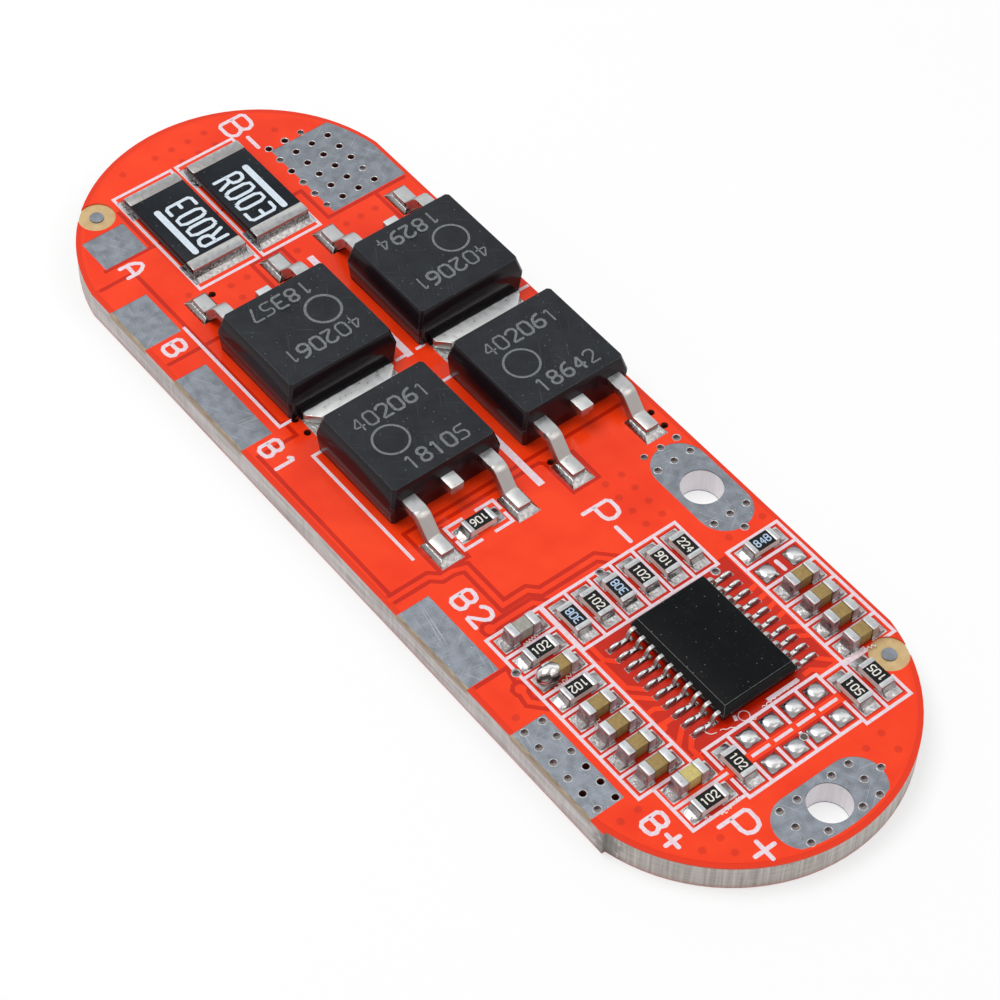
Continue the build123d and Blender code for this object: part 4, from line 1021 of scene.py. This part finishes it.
# Painted shade and highlight by slope on the plated ends: brightest on faces tipped a little toward the far
# side.
end_stops = (
    (0.0, (0.44, 0.40, 0.40)), (0.3, (0.36, 0.33, 0.33)), (0.44, (0.39, 0.39, 0.40)),
    (0.52, (0.47, 0.49, 0.50)), (0.62, (0.64, 0.66, 0.67)), (0.75, (0.44, 0.44, 0.45)),
    (1.0, (0.34, 0.34, 0.35)))
end_tin = metal_finish("end_tin", end_stops, 0.36, 0.25 * mm, 0.08, 0.12)
softened("resistor_end_straps", "resistor_plated_ends", 0.03 * mm, end_tin)
figure_size = (0.22 * mm, 0.40 * mm)
figure_pitch = 0.31 * mm
value_stroke = 0.07 * mm
value_rise = 0.003 * mm
values = (("106", 180), ("30B", 180), ("102", 0), ("30B", 180), ("102", 0), ("106", 180), ("224", 0),
          ("102", 0), ("84B", 0), ("102", 180), ("102", 0), ("105", 0), ("105", 180), ("102", 0))
coat_boxes = sorted(
    loose_boxes(coats), key=lambda box: (round((box[0].x + box[1].x) / mm, 1), box[0].y + box[1].y))
cream_lines, blue_lines = [], []
for (low, high), (value, flip) in zip(coat_boxes, values):
    kind = blue_lines if "B" in value else cream_lines
    length, depth = (high - low).xy
    turn = Matrix.Rotation(radians(flip + (0 if length > depth else 90)), 2)
    middle = ((low + high) / 2).xy
    half = Vector((2 * figure_pitch + figure_size[0], figure_size[1])) / 2
    for line in word_lines(value, figure_size[1], figure_size[0], figure_pitch):
        kind.append([tuple(turn @ (Vector(point) - half) + middle) for point in line])
value_cream = matt_finish("value_cream", (0.62, 0.60, 0.54), (0.80, 0.78, 0.72), 0.05 * mm, 0.5)
value_blue = matt_finish("value_blue", (0.30, 0.42, 0.58), (0.46, 0.60, 0.78), 0.05 * mm, 0.5)
raised_lines("resistor_values", cream_lines, value_stroke, value_rise, (0, 0, coat_top), value_cream)
raised_lines("resistor_values_blue", blue_lines, value_stroke, value_rise, (0, 0, coat_top), value_blue)


# Small chip capacitors: a brown ceramic block between two tin-plated end caps. The first of the
# near row is grey and the one nearest P+ is pale, and one end cap is under a large solder drop.
grey_left_of = 10.8 * mm
pale_right_of = 20.2 * mm
drop_radius = 0.5 * mm


def capacitor_finish():
    """Brown ceramic, grey at one end of the row and pale at the other."""
    material, tree, shader = new_finish("capacitor_ceramic")
    fine = grain(tree, 0.15 * mm)
    brown = shades(tree, fine, (0.3, (0.23, 0.145, 0.038)), (0.7, (0.32, 0.215, 0.065)))
    grey = shades(tree, fine, (0.3, (0.24, 0.23, 0.20)), (0.7, (0.36, 0.35, 0.31)))
    pale = shades(tree, fine, (0.3, (0.46, 0.37, 0.11)), (0.7, (0.58, 0.48, 0.17)))
    x = split_place(tree)[0]
    colour = blended(tree, sum_of(tree, "LESS_THAN", x, grey_left_of), brown, grey)
    colour = blended(tree, sum_of(tree, "GREATER_THAN", x, pale_right_of), colour, pale)
    tree.links.new(colour, shader.inputs["Base Color"])
    shader.inputs["Roughness"].default_value = 0.45
    return material


softened("capacitor_bodies", "capacitor_blocks", 0.02 * mm, capacitor_finish())
caps = softened("capacitor_end_caps", "capacitor_plated_caps", 0.12 * mm, end_tin, 3)
near_caps = sorted((low.x, low.y, high) for low, high in loose_boxes(caps) if high.y < -5 * mm)
drop_x, drop_y, drop_high = near_caps[1]
bpy.ops.object.select_all(action="DESELECT")
drop_place = (drop_x + 0.4 * mm, drop_y + 0.2 * mm, drop_high.z - 0.42 * mm)
bpy.ops.mesh.primitive_uv_sphere_add(
    segments=32, ring_count=16, radius=drop_radius, location=drop_place)
drop = bpy.context.active_object
drop.name = "solder_drop"
bpy.ops.transform.resize(value=(1.04, 1.4, 1.02))
bpy.ops.object.transform_apply(location=True, rotation=True, scale=True)
bpy.ops.object.shade_smooth()
# Painted highlight and dark reflections by slope: a bright band near the top of the drop, dark bands on its
# slopes.
drop_stops = (
    (0.0, (0.50, 0.46, 0.44)), (0.12, (0.05, 0.045, 0.045)), (0.22, (0.06, 0.05, 0.05)),
    (0.30, (0.46, 0.42, 0.40)), (0.42, (0.60, 0.58, 0.56)), (0.5, (0.92, 0.92, 0.92)),
    (0.58, (0.70, 0.70, 0.70)), (0.66, (0.20, 0.20, 0.20)), (0.80, (0.46, 0.46, 0.46)),
    (1.0, (0.36, 0.36, 0.36)))
dress(drop, metal_finish("drop_solder", drop_stops, 0.1, 0.3 * mm, 0.3, 0.3))


# Beside the chip: a ring in ink that marks its first leg, and threads of clear flux that dried
# white round the last legs and among the small parts.
stub_line = [(19.38 * mm, -0.42 * mm), (19.44 * mm, -0.26 * mm)]
ring_line = circle(19.55 * mm, 0.06 * mm, 0.27 * mm, 20)
raised_lines("first_leg_stub", [stub_line], 0.3 * mm, 0.003 * mm, (0, 0, film_level), ink)
raised_lines("first_leg_ring", [ring_line], 0.045 * mm, 0.008 * mm, (0, 0, film_level), ink)


def wavy(first, last, waves, reach):
    """A thread that winds from one place to another."""
    start, end = Vector(first) * mm, Vector(last) * mm
    aside = (end - start).normalized().orthogonal() * reach * mm
    shares = [step / (6 * waves) for step in range(6 * waves + 1)]
    return [tuple(start.lerp(end, share) + aside * sin(2 * pi * waves * share)) for share in shares]


curl = [(19.02, -1.85), (19.2, -1.9), (19.42, -1.78), (19.49, -1.53)]
flux_runs = (
    ((19.50, -1.3), (19.80, -0.6), 2, 0.03), ((19.95, -0.2), (19.98, 0.4), 2, 0.04),
    ((19.72, 1.0), (19.62, 2.4), 5, 0.05), ((19.66, 2.4), (19.6, 3.3), 4, 0.05),
    ((12.99, -4.4), (13.34, -6.0), 6, 0.09), ((15.72, -5.2), (16.06, -5.8), 3, 0.06),
    ((22.62, -4.9), (22.93, -3.9), 5, 0.06), ((22.9, -3.8), (22.66, -3.0), 4, 0.05),
    ((20.0, 5.95), (20.28, 7.4), 7, 0.09), ((10.5, -5.3), (10.38, -4.45), 5, 0.08))
flux_lines = [[(x * mm, y * mm) for x, y in curl]] + [wavy(*run) for run in flux_runs]
flux_level = film_level + 0.01 * mm
dried_flux = matt_finish("dried_flux", (0.80, 0.60, 0.58), (0.93, 0.86, 0.86), 0.1 * mm, 0.3)
raised_lines("flux_threads", flux_lines, 0.05 * mm, 0.02 * mm, (0, 0, flux_level), dried_flux)


# Floor, light and camera: a white floor, one large softbox above and behind, a fill from the camera's side,
# and the camera where the photograph was taken from.
bpy.ops.object.select_all(action="DESELECT")
bpy.ops.mesh.primitive_plane_add(size=1.2, location=(0, 0, -0.00002))
floor = bpy.context.active_object
floor.name = "floor"
floor_glow = 0.6
white, tree, shader = new_finish("floor_white")
shader.inputs["Base Color"].default_value = (0.9, 0.9, 0.9, 1)
shader.inputs["Roughness"].default_value = 0.9
path = tree.nodes.new("ShaderNodeLightPath")
glow = tree.nodes.new("ShaderNodeEmission")
lift = tree.nodes.new("ShaderNodeMixShader")
tree.links.new(sum_of(tree, "MULTIPLY", path.outputs["Is Camera Ray"], floor_glow), lift.inputs["Fac"])
tree.links.new(shader.outputs["BSDF"], lift.inputs[1])
tree.links.new(glow.outputs["Emission"], lift.inputs[2])
tree.links.new(lift.outputs["Shader"], tree.nodes["Material Output"].inputs["Surface"])
floor.data.materials.append(white)

world = bpy.data.worlds.new("studio")
bpy.context.scene.world = world
world.use_nodes = True
sky = world.node_tree
background = sky.nodes["Background"]
background.inputs["Color"].default_value = (1, 1, 1, 1)
path = sky.nodes.new("ShaderNodeLightPath")
seen = sky.nodes.new("ShaderNodeMath")
seen.operation = "MAXIMUM"
sky.links.new(path.outputs["Is Camera Ray"], seen.inputs[0])
sky.links.new(path.outputs["Is Transmission Ray"], seen.inputs[1])
mirrored = sky.nodes.new("ShaderNodeMath")
mirrored.operation = "MAXIMUM"
sky.links.new(seen.outputs["Value"], mirrored.inputs[0])
sky.links.new(path.outputs["Is Glossy Ray"], mirrored.inputs[1])
level = sky.nodes.new("ShaderNodeMapRange")
level.inputs["To Min"].default_value = 0.5
level.inputs["To Max"].default_value = 1.0
sky.links.new(mirrored.outputs["Value"], level.inputs["Value"])
sky.links.new(level.outputs["Result"], background.inputs["Strength"])


def softbox(name, spot, power, size=0.16):
    """A large soft lamp that faces the board."""
    lamp = bpy.data.lights.new(name, "AREA")
    lamp.shape = "SQUARE"
    lamp.size = size
    lamp.energy = power
    holder = bpy.data.objects.new(name, lamp)
    holder.location = spot
    holder.rotation_euler = (-Vector(spot)).to_track_quat("-Z", "Y").to_euler()
    bpy.context.scene.collection.objects.link(holder)


softbox("key_softbox", (-0.08, -0.06, 0.26), 0.42)
softbox("fill_softbox", (0.14, 0.10, 0.24), 0.16)

camera_data = bpy.data.cameras.new("photo_camera")
camera_data.lens = 105.47
camera_data.sensor_width = 36
camera_data.shift_x = -0.00226
camera_data.clip_start = 0.001
camera_data.clip_end = 10
camera = bpy.data.objects.new("photo_camera", camera_data)
camera.location = (0.07006, -0.05641, 0.10957)
camera.rotation_euler = (radians(38.8209), radians(-1.0905), radians(51.5983))
bpy.context.scene.collection.objects.link(camera)
bpy.context.scene.camera = camera
bpy.context.scene.view_settings.view_transform = "Standard"
